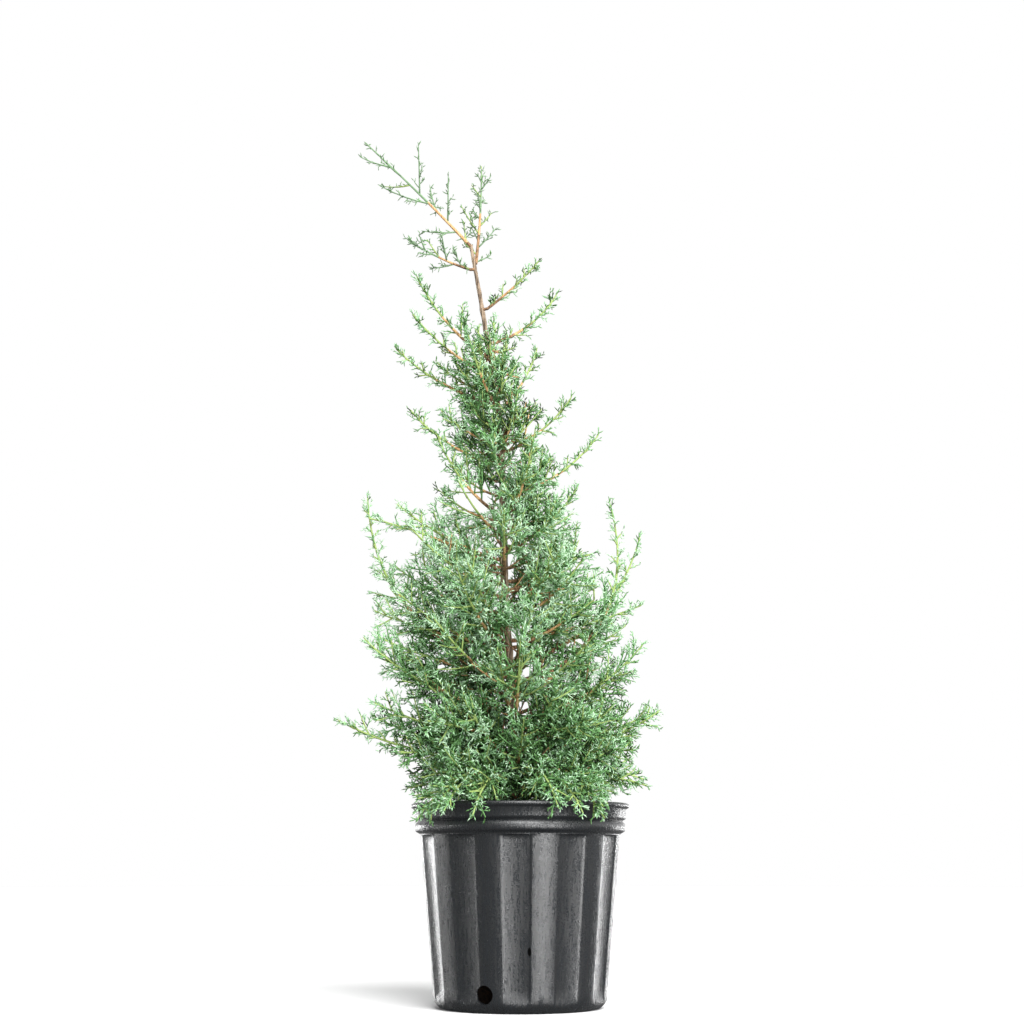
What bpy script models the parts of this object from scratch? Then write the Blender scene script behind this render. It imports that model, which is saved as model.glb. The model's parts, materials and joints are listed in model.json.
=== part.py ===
# A young upright juniper in a ribbed nursery pot.
# Metres, +Z up.  The origin is the centre of the pot's flat underside; the front faces -Y.
#
# The trunk rises from the potting mix and leans to the left.  Shoots leave it along its whole
# height.  The longer ones start as a bough, the others start at the trunk, and each runs out
# into a mass of foliage: one three-sided stem with toothed sprays set round it by the golden
# angle.  Low on the plant the masses are dense, and their stems swell into slim cores.

import math
import random

import bmesh
import bpy
from mathutils import Matrix, Vector
from mathutils.kdtree import KDTree

GAP = 0.0003  # clear air between neighbouring pieces

# ---- pot ----
RIM_RADIUS = 0.1525
POT_HEIGHT = 0.2755
BODY_TOP_RADIUS = 0.1396
BODY_TOP = 0.2330
BODY_FOOT_RADIUS = 0.1196
BODY_FOOT = 0.0150
BASE_RADIUS = 0.1050
BAND_RADIUS = 0.1465
BAND_GROOVE = 0.0036  # between the lower band and the upper one
WALL = 0.0026
RIB_COUNT = 11
RIB_DEPTH = 0.0024
RIB_FLANK = math.radians(2.5)  # the sloping side of a rib, seen from the axis
FIRST_RIB = math.radians(-76)  # middle of the rib right of the front
DRAIN_COUNT = 3
DRAIN_SIDES = 12
DRAIN_RADIUS = 0.0105
DRAIN_HEIGHT = 0.0245
FIRST_DRAIN = math.radians(-113.5)

# ---- potting mix ----
SOIL_TOP = 0.2520
SOIL_INSET = 0.0009  # between the mix and the facets of the wall

# ---- trunk: height, sideways place, depth ----
TRUNK_LINE = (
    (SOIL_TOP + GAP, -0.0080, 0.000),
    (0.400, -0.0100, 0.004),
    (0.560, -0.0210, -0.003),
    (0.830, -0.0290, 0.004),
    (0.950, -0.0480, 0.000),
    (1.098, -0.0725, 0.000),
)
TRUNK_FOOT_RADIUS = 0.0074
TRUNK_TOP_RADIUS = 0.0026
FLARE = 0.0040  # how much wider the root flare is at the cut
FLARE_HEIGHT = 0.012
TRUNK_RINGS = 18
TRUNK_SIDES = 8

# ---- shoots ----
# Bearing in degrees (0 right, 90 back, 180 left, 270 front), the height they leave the trunk,
# how far out and how far up their tip is, how deep their line sags below a straight one
# (less than 0 arches above it), the reach of their side sprays, and the share that is bough.
SHOOTS = {
    "top_fork": (70, 1.072, 0.030, 0.158, 0.012, 0.040, 0.0),
    "top_left": (197, 1.060, 0.103, 0.035, 0.008, 0.042, 0.0),
    "crown_right": (346, 0.997, 0.086, 0.068, 0.006, 0.042, 0.0),
    "crown_left": (168, 0.930, 0.112, 0.127, 0.020, 0.045, 0.0),
    "high_right": (17, 0.945, 0.108, 0.087, 0.022, 0.045, 0.0),
    "high_left": (203, 0.900, 0.126, 0.075, 0.018, 0.045, 0.0),
    "shoulder_left": (163, 0.857, 0.160, 0.095, 0.020, 0.050, 0.0),
    "high_front": (248, 0.848, 0.112, 0.080, 0.018, 0.055, 0.0),
    "high_back": (92, 0.880, 0.100, 0.140, 0.020, 0.055, 0.0),
    "shoulder_right": (48, 0.850, 0.086, 0.106, 0.016, 0.050, 0.0),
    "middle_right": (342, 0.782, 0.106, 0.072, 0.018, 0.050, 0.0),
    "long_right": (8, 0.715, 0.141, 0.095, 0.026, 0.050, 0.0),
    "middle_left": (190, 0.764, 0.132, 0.072, 0.022, 0.050, 0.0),
    "middle_front_left": (226, 0.688, 0.130, 0.090, 0.026, 0.066, 0.0),
    "middle_front": (292, 0.672, 0.120, 0.115, 0.030, 0.066, 0.0),
    "low_middle_right": (326, 0.638, 0.126, 0.076, 0.024, 0.062, 0.0),
    "left_arm": (186, 0.610, 0.194, 0.068, -0.016, 0.055, 0.50),
    "left_plume": (172, 0.478, 0.210, 0.243, 0.110, 0.055, 0.42),
    "right_plume": (1, 0.436, 0.142, 0.272, 0.125, 0.052, 0.42),
    "inner_left": (200, 0.545, 0.142, 0.090, 0.036, 0.078, 0.0),
    "inner_right": (352, 0.575, 0.118, 0.080, 0.030, 0.072, 0.0),
    "far_right": (15, 0.470, 0.198, 0.196, 0.070, 0.066, 0.36),
    "front_right": (322, 0.532, 0.154, 0.102, 0.032, 0.072, 0.0),
    "low_left": (192, 0.408, 0.212, 0.094, 0.034, 0.074, 0.36),
    "left_sweep": (180, 0.338, 0.248, 0.054, 0.030, 0.062, 0.36),
    "right_sweep": (0, 0.340, 0.204, 0.064, 0.026, 0.066, 0.36),
    "low_right": (344, 0.390, 0.188, 0.103, 0.032, 0.074, 0.36),
    "low_front": (273, 0.376, 0.172, 0.110, 0.034, 0.082, 0.34),
    "front_left": (243, 0.492, 0.156, 0.098, 0.030, 0.078, 0.0),
    "skirt_front_right": (306, 0.352, 0.175, 0.030, -0.004, 0.080, 0.0),
    "skirt_front_left": (231, 0.360, 0.182, 0.020, -0.008, 0.080, 0.0),
    "skirt_left": (236, 0.310, 0.186, -0.050, -0.062, 0.066, 0.34),
    "skirt_right": (311, 0.309, 0.178, -0.040, -0.060, 0.066, 0.34),
    "skirt_far_left": (204, 0.323, 0.170, 0.020, -0.012, 0.064, 0.0),
    "skirt_far_right": (338, 0.326, 0.178, 0.020, -0.012, 0.064, 0.0),
}
# The back fills in by turns of the golden angle between two bearings, from the lowest up.
GOLDEN_ANGLE = 137.5
BACK_COUNT = 8
BACK_BEARINGS = (35, 145)
BACK_HEIGHTS = (0.312, 0.800)
BACK_REACHES = (0.200, 0.115)
BACK_RISES = (0.030, 0.130)
BACK_SAG = 0.028
BACK_SPREAD = 0.076
BACK_BOUGHS = 2
BACK_BOUGH_SHARE = 0.36

# The leader goes on from the trunk's tip.
LEADER_BEARING = 180
LEADER_REACH = 0.158
LEADER_RISE = 0.160
LEADER_SAG = -0.004
LEADER_SPREAD = 0.080

SHOOT_STEPS = 5
BOUGH_SIDES = 6
STEM_SIDES = 3
COLLAR = 0.005  # the straight start of a stem
SHOOT_THICKNESS = 0.0014  # radius of the thinnest shoot at the trunk
SHOOT_THICKENING = 0.0095  # added radius for each metre of length
SHOOT_TIP_RADIUS = 0.0009

# ---- sprays and cores ----
DENSE_BELOW = 0.90  # shoots that leave the trunk lower than this have a core
CORE_SHARE = 0.12  # radius of a core, of the reach of its sprays
SPRAY_SPACING = 0.0300  # along a stem
FIRST_SPRAY = 0.08  # where the sprays begin, of the stem's length
SPRAY_RUN = 0.86  # how much of the stem they are spread over
SPRAY_ANGLE = math.radians(43)  # between a spray and its stem
SPRAY_TURN = 20  # degrees either way
SPRAY_REACHES = (1.15, 1.45)
SPRAY_SHARES = (1.0, 0.9, 0.8, 0.7, 0.6, 0.5)  # tried in turn until one fits
SPRAY_WIDTH = 0.86  # of its length
SPRAY_MOST_WIDTH = 0.046
SPRAY_RIB = 0.0026  # thickness along the middle
SPRAY_TEETH = 4
TOOTH_TAPER = 0.45  # how much shorter the teeth get along a spray
TOOTH_SWEEP = 0.17  # how far a tooth points forward, of the spray's length
NOTCH = 0.17  # of the width, between the teeth
ROLL = math.radians(23)
SHORTEST_SPRAY = 0.018
TIP_SPRAY_BACK = 0.026
TIP_SPRAY_AHEAD = 0.010

ROOM_TO_STEMS = 0.0024  # how much nearer a spray is to its own stem than to any other
ROOM_TO_WOOD = 0.0030
ROOM_TO_POT = 0.0040
SAMPLE_STEP = 0.004


# ---- scene and materials ----


def clear_scene():
    for thing in list(bpy.data.objects):
        bpy.data.objects.remove(thing, do_unlink=True)


def new_collection(name):
    collection = bpy.data.collections.new(name)
    bpy.context.scene.collection.children.link(collection)
    return collection


def new_material(name, color, roughness):
    material = bpy.data.materials.new(name)
    material.use_nodes = True
    material.diffuse_color = (*color, 1.0)
    shader = material.node_tree.nodes["Principled BSDF"]
    shader.inputs["Base Color"].default_value = (*color, 1.0)
    shader.inputs["Roughness"].default_value = roughness
    shader.inputs["Metallic"].default_value = 0.0
    return material


def new_object(name, data, material, collection):
    data.materials.append(material)
    thing = bpy.data.objects.new(name, data)
    collection.objects.link(thing)
    return thing


def finish_mesh(name, shape):
    bmesh.ops.recalc_face_normals(shape, faces=shape.faces)
    mesh = bpy.data.meshes.new(name)
    shape.to_mesh(mesh)
    shape.free()
    return mesh


def loft(name, rings):
    # A closed skin over rings of equally many points, with a flat face at each end.
    shape = bmesh.new()
    loops = []
    for places in rings:
        verts = bmesh.ops.create_circle(shape, segments=len(places), radius=1.0)["verts"]
        for vert, place in zip(verts, places):
            vert.co = place
        loops.append(list({edge for vert in verts for edge in vert.link_edges}))
    for start, end in zip(loops, loops[1:]):
        bmesh.ops.bridge_loops(shape, edges=start + end)
    for loop in (loops[0], loops[-1]):
        bmesh.ops.contextual_create(shape, geom=loop)
    return finish_mesh(name, shape)


# ---- pot ----


def pot_ring(radius, height, ribbed):
    # Two points on each rib and two in each hollow; even steps where there are no ribs.
    panel = math.pi / RIB_COUNT
    half = (panel - RIB_FLANK) / 2 if ribbed else panel / 4
    places = []
    for i in range(RIB_COUNT * 2):
        across = radius - (RIB_DEPTH if ribbed and i % 2 else 0.0)
        middle = FIRST_RIB + i * panel
        for angle in (middle - half, middle + half):
            places.append((across * math.cos(angle), across * math.sin(angle), height))
    return places


def inner_radius(height):
    # The inside of the wall is smooth, one wall behind the hollows between the ribs.
    share = (height - BODY_FOOT) / (BODY_TOP - BODY_FOOT)
    outside = BODY_FOOT_RADIUS + (BODY_TOP_RADIUS - BODY_FOOT_RADIUS) * share
    return outside - RIB_DEPTH - WALL


def pot_profile():
    # Up the outside from the underside, over the rim and down the inside: radius, height, ribbed.
    body = [
        (BASE_RADIUS, 0.0, False),
        (BODY_FOOT_RADIUS - 0.0040, 0.0065, False),
        (BODY_FOOT_RADIUS, BODY_FOOT, True),
        (BODY_TOP_RADIUS, BODY_TOP, True),
    ]
    bands = [
        (BAND_RADIUS - 0.0010, BODY_TOP + 0.0060, False),
        (BAND_RADIUS, BODY_TOP + 0.0160, False),
        (BAND_RADIUS - BAND_GROOVE, BODY_TOP + 0.0185, False),
        (BAND_RADIUS + 0.0010, BODY_TOP + 0.0210, False),
        (BAND_RADIUS + 0.0012, POT_HEIGHT - 0.0080, False),
        (RIM_RADIUS, POT_HEIGHT - 0.0055, False),
        (RIM_RADIUS, POT_HEIGHT, False),
    ]
    inside = [
        (RIM_RADIUS - 0.0060, POT_HEIGHT - 0.0008, False),
        (BAND_RADIUS - BAND_GROOVE - WALL, POT_HEIGHT - 0.0100, False),
        (inner_radius(BODY_TOP), BODY_TOP, False),
        (inner_radius(BODY_FOOT), BODY_FOOT, False),
        (BASE_RADIUS - 0.0020, WALL, False),
    ]
    return body + bands + inside


def make_drain_cutter(bearing, cutters):
    bpy.ops.mesh.primitive_cylinder_add(
        vertices=DRAIN_SIDES,
        radius=DRAIN_RADIUS,
        depth=WALL * 8,
        location=(BODY_FOOT_RADIUS * math.cos(bearing), BODY_FOOT_RADIUS * math.sin(bearing), DRAIN_HEIGHT),
        rotation=(0, math.pi / 2, bearing),
    )
    cutter = bpy.context.object
    cutter.name = "drain_cutter"
    cutter.hide_render = True
    cutter.display_type = "WIRE"
    bpy.context.collection.objects.unlink(cutter)
    cutters.objects.link(cutter)
    return cutter


def make_pot(material, collection, cutters):
    mesh = loft("pot", [pot_ring(*place) for place in pot_profile()])
    pot = new_object("pot", mesh, material, collection)
    mesh.shade_smooth()
    mesh.set_sharp_from_angle(angle=math.radians(25))
    for i in range(DRAIN_COUNT):
        cut = pot.modifiers.new("drain", "BOOLEAN")
        cut.operation = "DIFFERENCE"
        cut.object = make_drain_cutter(FIRST_DRAIN + i * math.tau / DRAIN_COUNT, cutters)


def make_soil(material, collection):
    # A plug of potting mix that fills the pot, with its top a little below the rim.
    profile = [
        (0.0, SOIL_TOP),
        (inner_radius(BODY_TOP) - SOIL_INSET, SOIL_TOP),
        (inner_radius(BODY_TOP) - SOIL_INSET, BODY_TOP),
        (inner_radius(BODY_FOOT) - SOIL_INSET, BODY_FOOT),
        (BASE_RADIUS - 0.0020 - SOIL_INSET, WALL + SOIL_INSET),
        (0.0, WALL + SOIL_INSET),
    ]
    shape = bmesh.new()
    verts = [shape.verts.new((radius, 0, height)) for radius, height in profile]
    for upper, lower in zip(verts, verts[1:]):
        shape.edges.new((upper, lower))
    mesh = bpy.data.meshes.new("soil")
    shape.to_mesh(mesh)
    shape.free()
    soil = new_object("soil", mesh, material, collection)
    turn = soil.modifiers.new("turn", "SCREW")
    turn.steps = turn.render_steps = RIB_COUNT * 4
    turn.use_merge_vertices = True
    turn.merge_threshold = 0.00001


# ---- lines of the trunk and shoots ----


def trunk_line(height):
    # Catmull-Rom through the named places, so that the lean changes without a kink.
    places = [Vector((across, depth, level)) for level, across, depth in TRUNK_LINE]
    places = [places[0] * 2 - places[1]] + places + [places[-1] * 2 - places[-2]]
    index = 1
    while index < len(places) - 3 and height > places[index + 1].z:
        index += 1
    before, start, end, after = places[index - 1 : index + 3]
    t = (height - start.z) / (end.z - start.z)
    point = 0.5 * (
        2 * start
        + (end - before) * t
        + (2 * before - 5 * start + 4 * end - after) * t**2
        + (3 * start - before - 3 * end + after) * t**3
    )
    return Vector((point.x, point.y, height))


def trunk_radius(height):
    foot, top = TRUNK_LINE[0][0], TRUNK_LINE[-1][0]
    share = (height - foot) / (top - foot)
    plain = TRUNK_FOOT_RADIUS + (TRUNK_TOP_RADIUS - TRUNK_FOOT_RADIUS) * share
    return plain + FLARE * math.exp(-(height - foot) / FLARE_HEIGHT)


def trunk_direction(height):
    return (trunk_line(height + SAMPLE_STEP) - trunk_line(height - SAMPLE_STEP)).normalized()


def flat_direction(bearing):
    return Vector((math.cos(math.radians(bearing)), math.sin(math.radians(bearing)), 0.0))


def bent_line(start, end, sag):
    # A quadratic curve whose control is pushed off the middle of the straight line, downwards
    # for a sag, and outwards as far as the line climbs.
    run = end - start
    along = run.normalized()
    flat = Vector((run.x, run.y, 0.0)).normalized()
    push = flat * along.z - Vector((0, 0, 1)) * along.dot(flat)
    control = (start + end) / 2 + push * sag
    steps = [i / SHOOT_STEPS for i in range(SHOOT_STEPS + 1)]
    return [start * (1 - t) ** 2 + control * 2 * t * (1 - t) + end * t**2 for t in steps]


def taper(thick, count):
    return [thick + (SHOOT_TIP_RADIUS - thick) * (i / (count - 1)) ** 0.8 for i in range(count)]


def shoot_line(bearing, height, reach, rise, sag):
    # It leaves the trunk square to it, so that the two faces stay parallel, and then bends away.
    axis = trunk_direction(height)
    flat = flat_direction(bearing)
    out = (flat - axis * flat.dot(axis)).normalized()
    centre = trunk_line(height)
    thick = SHOOT_THICKNESS + SHOOT_THICKENING * math.hypot(reach, rise)
    face = centre + out * (trunk_radius(height) + GAP)
    tip = centre + flat * reach + Vector((0, 0, rise))
    points = [face] + bent_line(face + out * thick * 2, tip, sag)
    return points, taper(thick, len(points))


def leader_line():
    top = TRUNK_LINE[-1][0]
    ahead = trunk_direction(top)
    face = trunk_line(top) + ahead * GAP
    tip = trunk_line(top) + flat_direction(LEADER_BEARING) * LEADER_REACH + Vector((0, 0, LEADER_RISE))
    points = [face] + bent_line(face + ahead * COLLAR, tip, LEADER_SAG)
    return points, taper(TRUNK_TOP_RADIUS, len(points))


def split_shoot(points, radii, share):
    # The stem goes on from the bough's tip in the same direction, one gap further on.
    index = max(2, round(share * (len(points) - 1)))
    ahead = (points[index] - points[index - 1]).normalized()
    root = points[index] + ahead * GAP
    stem = [root, root + ahead * COLLAR] + points[index + 1 :]
    return (points[: index + 1], radii[: index + 1]), (stem, [radii[index]] + radii[index:])


def back_shoots():
    first, last = BACK_BEARINGS
    shoots = {}
    for i in range(BACK_COUNT):
        share = i / (BACK_COUNT - 1)
        height, reach, rise = (
            low + (high - low) * share for low, high in (BACK_HEIGHTS, BACK_REACHES, BACK_RISES)
        )
        bearing = first + i * GOLDEN_ANGLE % (last - first)
        bough_share = BACK_BOUGH_SHARE if i < BACK_BOUGHS else 0.0
        shoots[f"back_{i + 1}"] = (bearing, height, reach, rise, BACK_SAG, BACK_SPREAD, bough_share)
    return shoots


def plan_plant():
    # Every bough and every stem as points and radii, and the reach of each stem's sprays.
    boughs, stems = {}, {"leader": leader_line()}
    spreads = {"leader": LEADER_SPREAD}
    for name, (bearing, height, reach, rise, sag, spread, share) in {**SHOOTS, **back_shoots()}.items():
        stems[name] = shoot_line(bearing, height, reach, rise, sag)
        spreads[name] = spread
        if share:
            boughs[name], stems[name] = split_shoot(*stems[name], share)
    return boughs, stems, spreads


# ---- trunk and boughs ----


def make_limb(name, points, radii, sides, material, collection):
    curve = bpy.data.curves.new(name, "CURVE")
    curve.dimensions = "3D"
    curve.bevel_depth = 1.0
    curve.bevel_resolution = (sides - 4) // 2
    curve.use_fill_caps = True
    spline = curve.splines.new("POLY")
    spline.points.add(len(points) - 1)
    for knot, point, radius in zip(spline.points, points, radii):
        knot.co = (*point, 1.0)
        knot.radius = radius
    new_object(name, curve, material, collection)


def make_trunk(material, collection):
    foot, top = TRUNK_LINE[0][0], TRUNK_LINE[-1][0]
    neck = foot + FLARE_HEIGHT * 2
    heights = [foot, foot + FLARE_HEIGHT / 2, foot + FLARE_HEIGHT]
    heights += [neck + (top - neck) * i / TRUNK_RINGS for i in range(TRUNK_RINGS + 1)]
    points = [trunk_line(height) for height in heights]
    points[1].xy = points[0].xy  # keeps the cut level
    radii = [trunk_radius(height) for height in heights]
    make_limb("trunk", points, radii, TRUNK_SIDES, material, collection)


# ---- masses of foliage ----


def line_samples(points):
    samples = []
    for start, end in zip(points, points[1:]):
        count = math.ceil((end - start).length / SAMPLE_STEP)
        samples += [start.lerp(end, i / count) for i in range(count)]
    return samples + [points[-1]]


def sample_tree(samples):
    tree = KDTree(len(samples))
    for i, sample in enumerate(samples):
        tree.insert(sample, i)
    tree.balance()
    return tree


def clear_of_pot(point):
    if point.z > POT_HEIGHT + ROOM_TO_POT:
        return True
    across = math.hypot(point.x, point.y)
    outside = across > RIM_RADIUS + ROOM_TO_POT
    inside = point.z > SOIL_TOP + ROOM_TO_POT and across < inner_radius(BODY_TOP) - ROOM_TO_POT
    return outside or inside


class Space:
    # What a mass may fill: nearer its own stem than any other, and clear of the wood and the pot.

    def __init__(self, name, boughs, stems):
        self.own = sample_tree(line_samples(stems[name][0]))
        others = [line_samples(points) for other, (points, _) in stems.items() if other != name]
        self.others = sample_tree([sample for samples in others for sample in samples])
        foot, top = TRUNK_LINE[0][0], TRUNK_LINE[-1][0]
        count = math.ceil((top - foot) / SAMPLE_STEP)
        wood = [trunk_line(foot + (top - foot) * i / count) for i in range(count + 1)]
        self.wood_radii = [trunk_radius(point.z) for point in wood]
        for points, radii in boughs.values():
            samples = line_samples(points)
            wood += samples
            self.wood_radii += [radii[0]] * len(samples)
        self.wood = sample_tree(wood)

    def holds(self, point):
        if self.others.find(point)[2] - self.own.find(point)[2] < ROOM_TO_STEMS:
            return False
        _, index, distance = self.wood.find(point)
        return distance > self.wood_radii[index] + ROOM_TO_WOOD and clear_of_pot(point)

    def holds_spray(self, root, tip, side):
        # Its middle, its tip and both edges.
        half = side * spray_half((tip - root).length)
        places = [root.lerp(tip, share) for share in (0.35, 0.7, 1.0)]
        places += [root.lerp(tip, share) + edge for share in (0.4, 0.65) for edge in (half, -half)]
        return all(self.holds(place) for place in places)


def spray_half(length):
    return min(length * SPRAY_WIDTH, SPRAY_MOST_WIDTH) / 2


def spray(name, root, tip, side, material, collection):
    # A coarse sphere drawn out into a flat blade, with teeth that alternate along its two edges.
    # It is rolled a little, so that its edges never lie along those of its stem.
    shape = bmesh.new()
    rows = SPRAY_TEETH + 1
    bmesh.ops.create_uvsphere(shape, u_segments=4, v_segments=rows, radius=1.0)
    run = tip - root
    forward = run.normalized()
    side = Matrix.Rotation(ROLL, 3, forward) @ (side - forward * side.dot(forward)).normalized()
    up = forward.cross(side)
    half = spray_half(run.length)
    for vert in shape.verts:
        row = round(math.acos(max(-1.0, min(1.0, -vert.co.z))) / math.pi * rows)
        place = row / rows
        across = 0.0
        if abs(vert.co.x) > abs(vert.co.y):
            edge = math.copysign(1.0, vert.co.x)
            is_tooth = (row % 2 == 0) == (edge > 0)
            across = edge * half * ((1.0 - TOOTH_TAPER * place) if is_tooth else NOTCH)
            place += TOOTH_SWEEP if is_tooth else 0.0
        rise = math.copysign(SPRAY_RIB / 2, vert.co.y) if abs(vert.co.y) > abs(vert.co.x) else 0.0
        if row in (0, rows):
            across = rise = 0.0
        vert.co = root + run * place + side * across + up * rise
    return new_object(name, finish_mesh(name, shape), material, collection)


def point_on(points, share):
    place = share * (len(points) - 1)
    index = min(int(place), len(points) - 2)
    start, end = points[index], points[index + 1]
    return start.lerp(end, place - index), (end - start).normalized()


def plume(share):
    # Sprays are longest low on a stem and shorten to its tip.
    return min(1.0, 0.62 + 1.5 * share) * (1.0 - 0.70 * share**1.6)


def side_sprays(points, spread, rng):
    # Root, tip and side of each spray, turned round the stem by the golden angle.
    length = sum((end - start).length for start, end in zip(points, points[1:]))
    count = max(4, round(length / SPRAY_SPACING))
    sprays = []
    for i in range(count):
        root, forward = point_on(points, FIRST_SPRAY + SPRAY_RUN * i / count)
        across = forward.orthogonal().normalized()
        turn = math.radians(i * GOLDEN_ANGLE + rng.uniform(-SPRAY_TURN, SPRAY_TURN))
        out = across * math.cos(turn) + forward.cross(across) * math.sin(turn)
        heading = forward * math.cos(SPRAY_ANGLE) + out * math.sin(SPRAY_ANGLE)
        reach = spread * plume(i / count) * rng.uniform(*SPRAY_REACHES)
        sprays.append((root, root + heading * reach, forward.cross(out)))
    return sprays


def grow_sprays(space, points, spread, rng, material, collection):
    # A spray that would leave the mass's space is shortened, and left out when too short.
    tip, forward = point_on(points, 1.0)
    start, end = tip - forward * TIP_SPRAY_BACK, tip + forward * TIP_SPRAY_AHEAD
    spray("tip", start, end, forward.orthogonal().normalized(), material, collection)
    for root, tip, side in side_sprays(points, spread, rng):
        for share in SPRAY_SHARES:
            end = root.lerp(tip, share)
            if (end - root).length > SHORTEST_SPRAY and space.holds_spray(root, end, side):
                spray("side", root, end, side, material, collection)
                break


def stem_rings(space, points, radii, core):
    # Each ring is square to the line, with no twist from one to the next.  A core swells between
    # the two ends, as far as the space allows.
    turns = [math.tau * i / STEM_SIDES for i in range(STEM_SIDES)]
    rings = []
    side = (points[1] - points[0]).orthogonal().normalized()
    for i, (point, radius) in enumerate(zip(points, radii)):
        before, after = points[max(i - 1, 0)], points[min(i + 1, len(points) - 1)]
        forward = (after - before).normalized()
        side = (side - forward * side.dot(forward)).normalized()
        around = [Matrix.Rotation(turn, 3, forward) @ side for turn in turns]
        size = core * math.sin(math.pi * i / (len(points) - 1)) ** 0.7
        while size > radius and not all(space.holds(point + turned * size) for turned in around):
            size *= 0.85
        rings.append([point + turned * max(size, radius) for turned in around])
    return rings


def make_mass(name, seed, plan, material, collection):
    boughs, stems, spreads = plan
    points, radii = stems[name]
    space = Space(name, boughs, stems)
    core = spreads[name] * CORE_SHARE if points[0].z < DENSE_BELOW else 0.0
    rings = stem_rings(space, points, radii, core)
    mass = new_object(f"foliage_{name}", loft(name, rings), material, collection)
    pieces = new_collection("pieces")
    grow_sprays(space, points, spreads[name], random.Random(seed), material, pieces)

    union = mass.modifiers.new("union", "BOOLEAN")
    union.operation = "UNION"
    union.operand_type = "COLLECTION"
    union.collection = pieces
    fused = bpy.data.meshes.new_from_object(mass.evaluated_get(bpy.context.evaluated_depsgraph_get()))
    mass.modifiers.clear()
    mass.data = fused
    for piece in list(pieces.objects):
        bpy.data.objects.remove(piece, do_unlink=True)
    bpy.data.collections.remove(pieces)


# ---- the whole plant ----


def main():
    clear_scene()
    plant = new_collection("potted_juniper")
    cutters = new_collection("cutters")
    plastic = new_material("black_plastic", (0.030, 0.032, 0.034), 0.45)
    mix = new_material("potting_mix", (0.035, 0.022, 0.013), 0.95)
    bark = new_material("juniper_bark", (0.16, 0.085, 0.045), 0.85)
    green = new_material("juniper_foliage", (0.17, 0.27, 0.16), 0.70)

    make_pot(plastic, plant, cutters)
    make_soil(mix, plant)
    make_trunk(bark, plant)
    plan = plan_plant()
    for name, (points, radii) in plan[0].items():
        make_limb(f"bough_{name}", points, radii, BOUGH_SIDES, bark, plant)
    for seed, name in enumerate(plan[1]):
        make_mass(name, seed, plan, green, plant)


main()
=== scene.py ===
# A young upright juniper in a black nursery pot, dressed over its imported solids.
import json
import random
from math import atan2, cos, exp, hypot, pi, radians, sin, sqrt, tau

import bmesh
import bpy
import numpy as np
from mathutils import Matrix, Vector, noise

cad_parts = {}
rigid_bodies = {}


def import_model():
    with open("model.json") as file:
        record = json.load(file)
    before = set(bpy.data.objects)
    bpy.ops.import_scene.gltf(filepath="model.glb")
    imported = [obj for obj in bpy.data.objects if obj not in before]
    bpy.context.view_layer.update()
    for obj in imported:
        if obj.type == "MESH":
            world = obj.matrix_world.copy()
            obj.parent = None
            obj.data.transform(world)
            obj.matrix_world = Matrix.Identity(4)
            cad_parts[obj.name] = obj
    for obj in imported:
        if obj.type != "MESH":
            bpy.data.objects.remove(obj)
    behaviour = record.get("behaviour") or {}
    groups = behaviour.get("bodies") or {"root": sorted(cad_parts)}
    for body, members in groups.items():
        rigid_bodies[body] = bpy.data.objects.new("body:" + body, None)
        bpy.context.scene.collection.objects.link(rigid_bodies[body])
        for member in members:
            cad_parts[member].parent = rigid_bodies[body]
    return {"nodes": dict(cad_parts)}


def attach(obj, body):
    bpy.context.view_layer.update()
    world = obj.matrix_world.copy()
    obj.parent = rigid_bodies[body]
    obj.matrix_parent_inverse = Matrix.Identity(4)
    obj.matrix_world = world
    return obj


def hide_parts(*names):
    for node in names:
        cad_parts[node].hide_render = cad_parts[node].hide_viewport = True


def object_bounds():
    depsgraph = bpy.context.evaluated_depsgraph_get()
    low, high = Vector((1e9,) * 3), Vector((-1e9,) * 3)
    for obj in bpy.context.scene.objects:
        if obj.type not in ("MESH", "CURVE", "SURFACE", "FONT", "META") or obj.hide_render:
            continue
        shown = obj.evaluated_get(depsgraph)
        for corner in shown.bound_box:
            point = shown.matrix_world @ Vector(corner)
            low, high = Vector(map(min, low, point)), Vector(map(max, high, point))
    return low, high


scene = bpy.context.scene
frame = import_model()
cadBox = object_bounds()
print("frame loaded,", len(frame["nodes"]), "nodes")


# Materials.  Patterns read Object coordinates, in metres.


def feed(tree, node, inputs):
    # inputs are numbers, colours or other nodes' sockets
    for label, source in inputs.items():
        if isinstance(source, bpy.types.NodeSocket):
            tree.links.new(source, node.inputs[label])
        else:
            node.inputs[label].default_value = (*source, 1.0) if isinstance(source, tuple) else source


def addNode(tree, kind, inputs=None, **settings):
    node = tree.nodes.new(kind)
    for label, value in settings.items():
        setattr(node, label, value)
    feed(tree, node, inputs or {})
    return node


def combine(tree, operation, first, second):
    return addNode(tree, "ShaderNodeMath", {0: first, 1: second}, operation=operation).outputs[0]


def mixColours(tree, factor, low, high):
    return addNode(tree, "ShaderNodeMix", {0: factor, 6: low, 7: high}, data_type="RGBA").outputs[2]


def spread(tree, value, *limits):
    # a value between the first two limits, carried smoothly to lie between the last two
    inputs = dict(enumerate((value, *limits)))
    return addNode(tree, "ShaderNodeMapRange", inputs, interpolation_type="SMOOTHSTEP").outputs[0]


def relief(tree, height, distance, strength=1.0):
    inputs = {"Height": height, "Distance": distance, "Strength": strength}
    return addNode(tree, "ShaderNodeBump", inputs).outputs[0]


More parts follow.
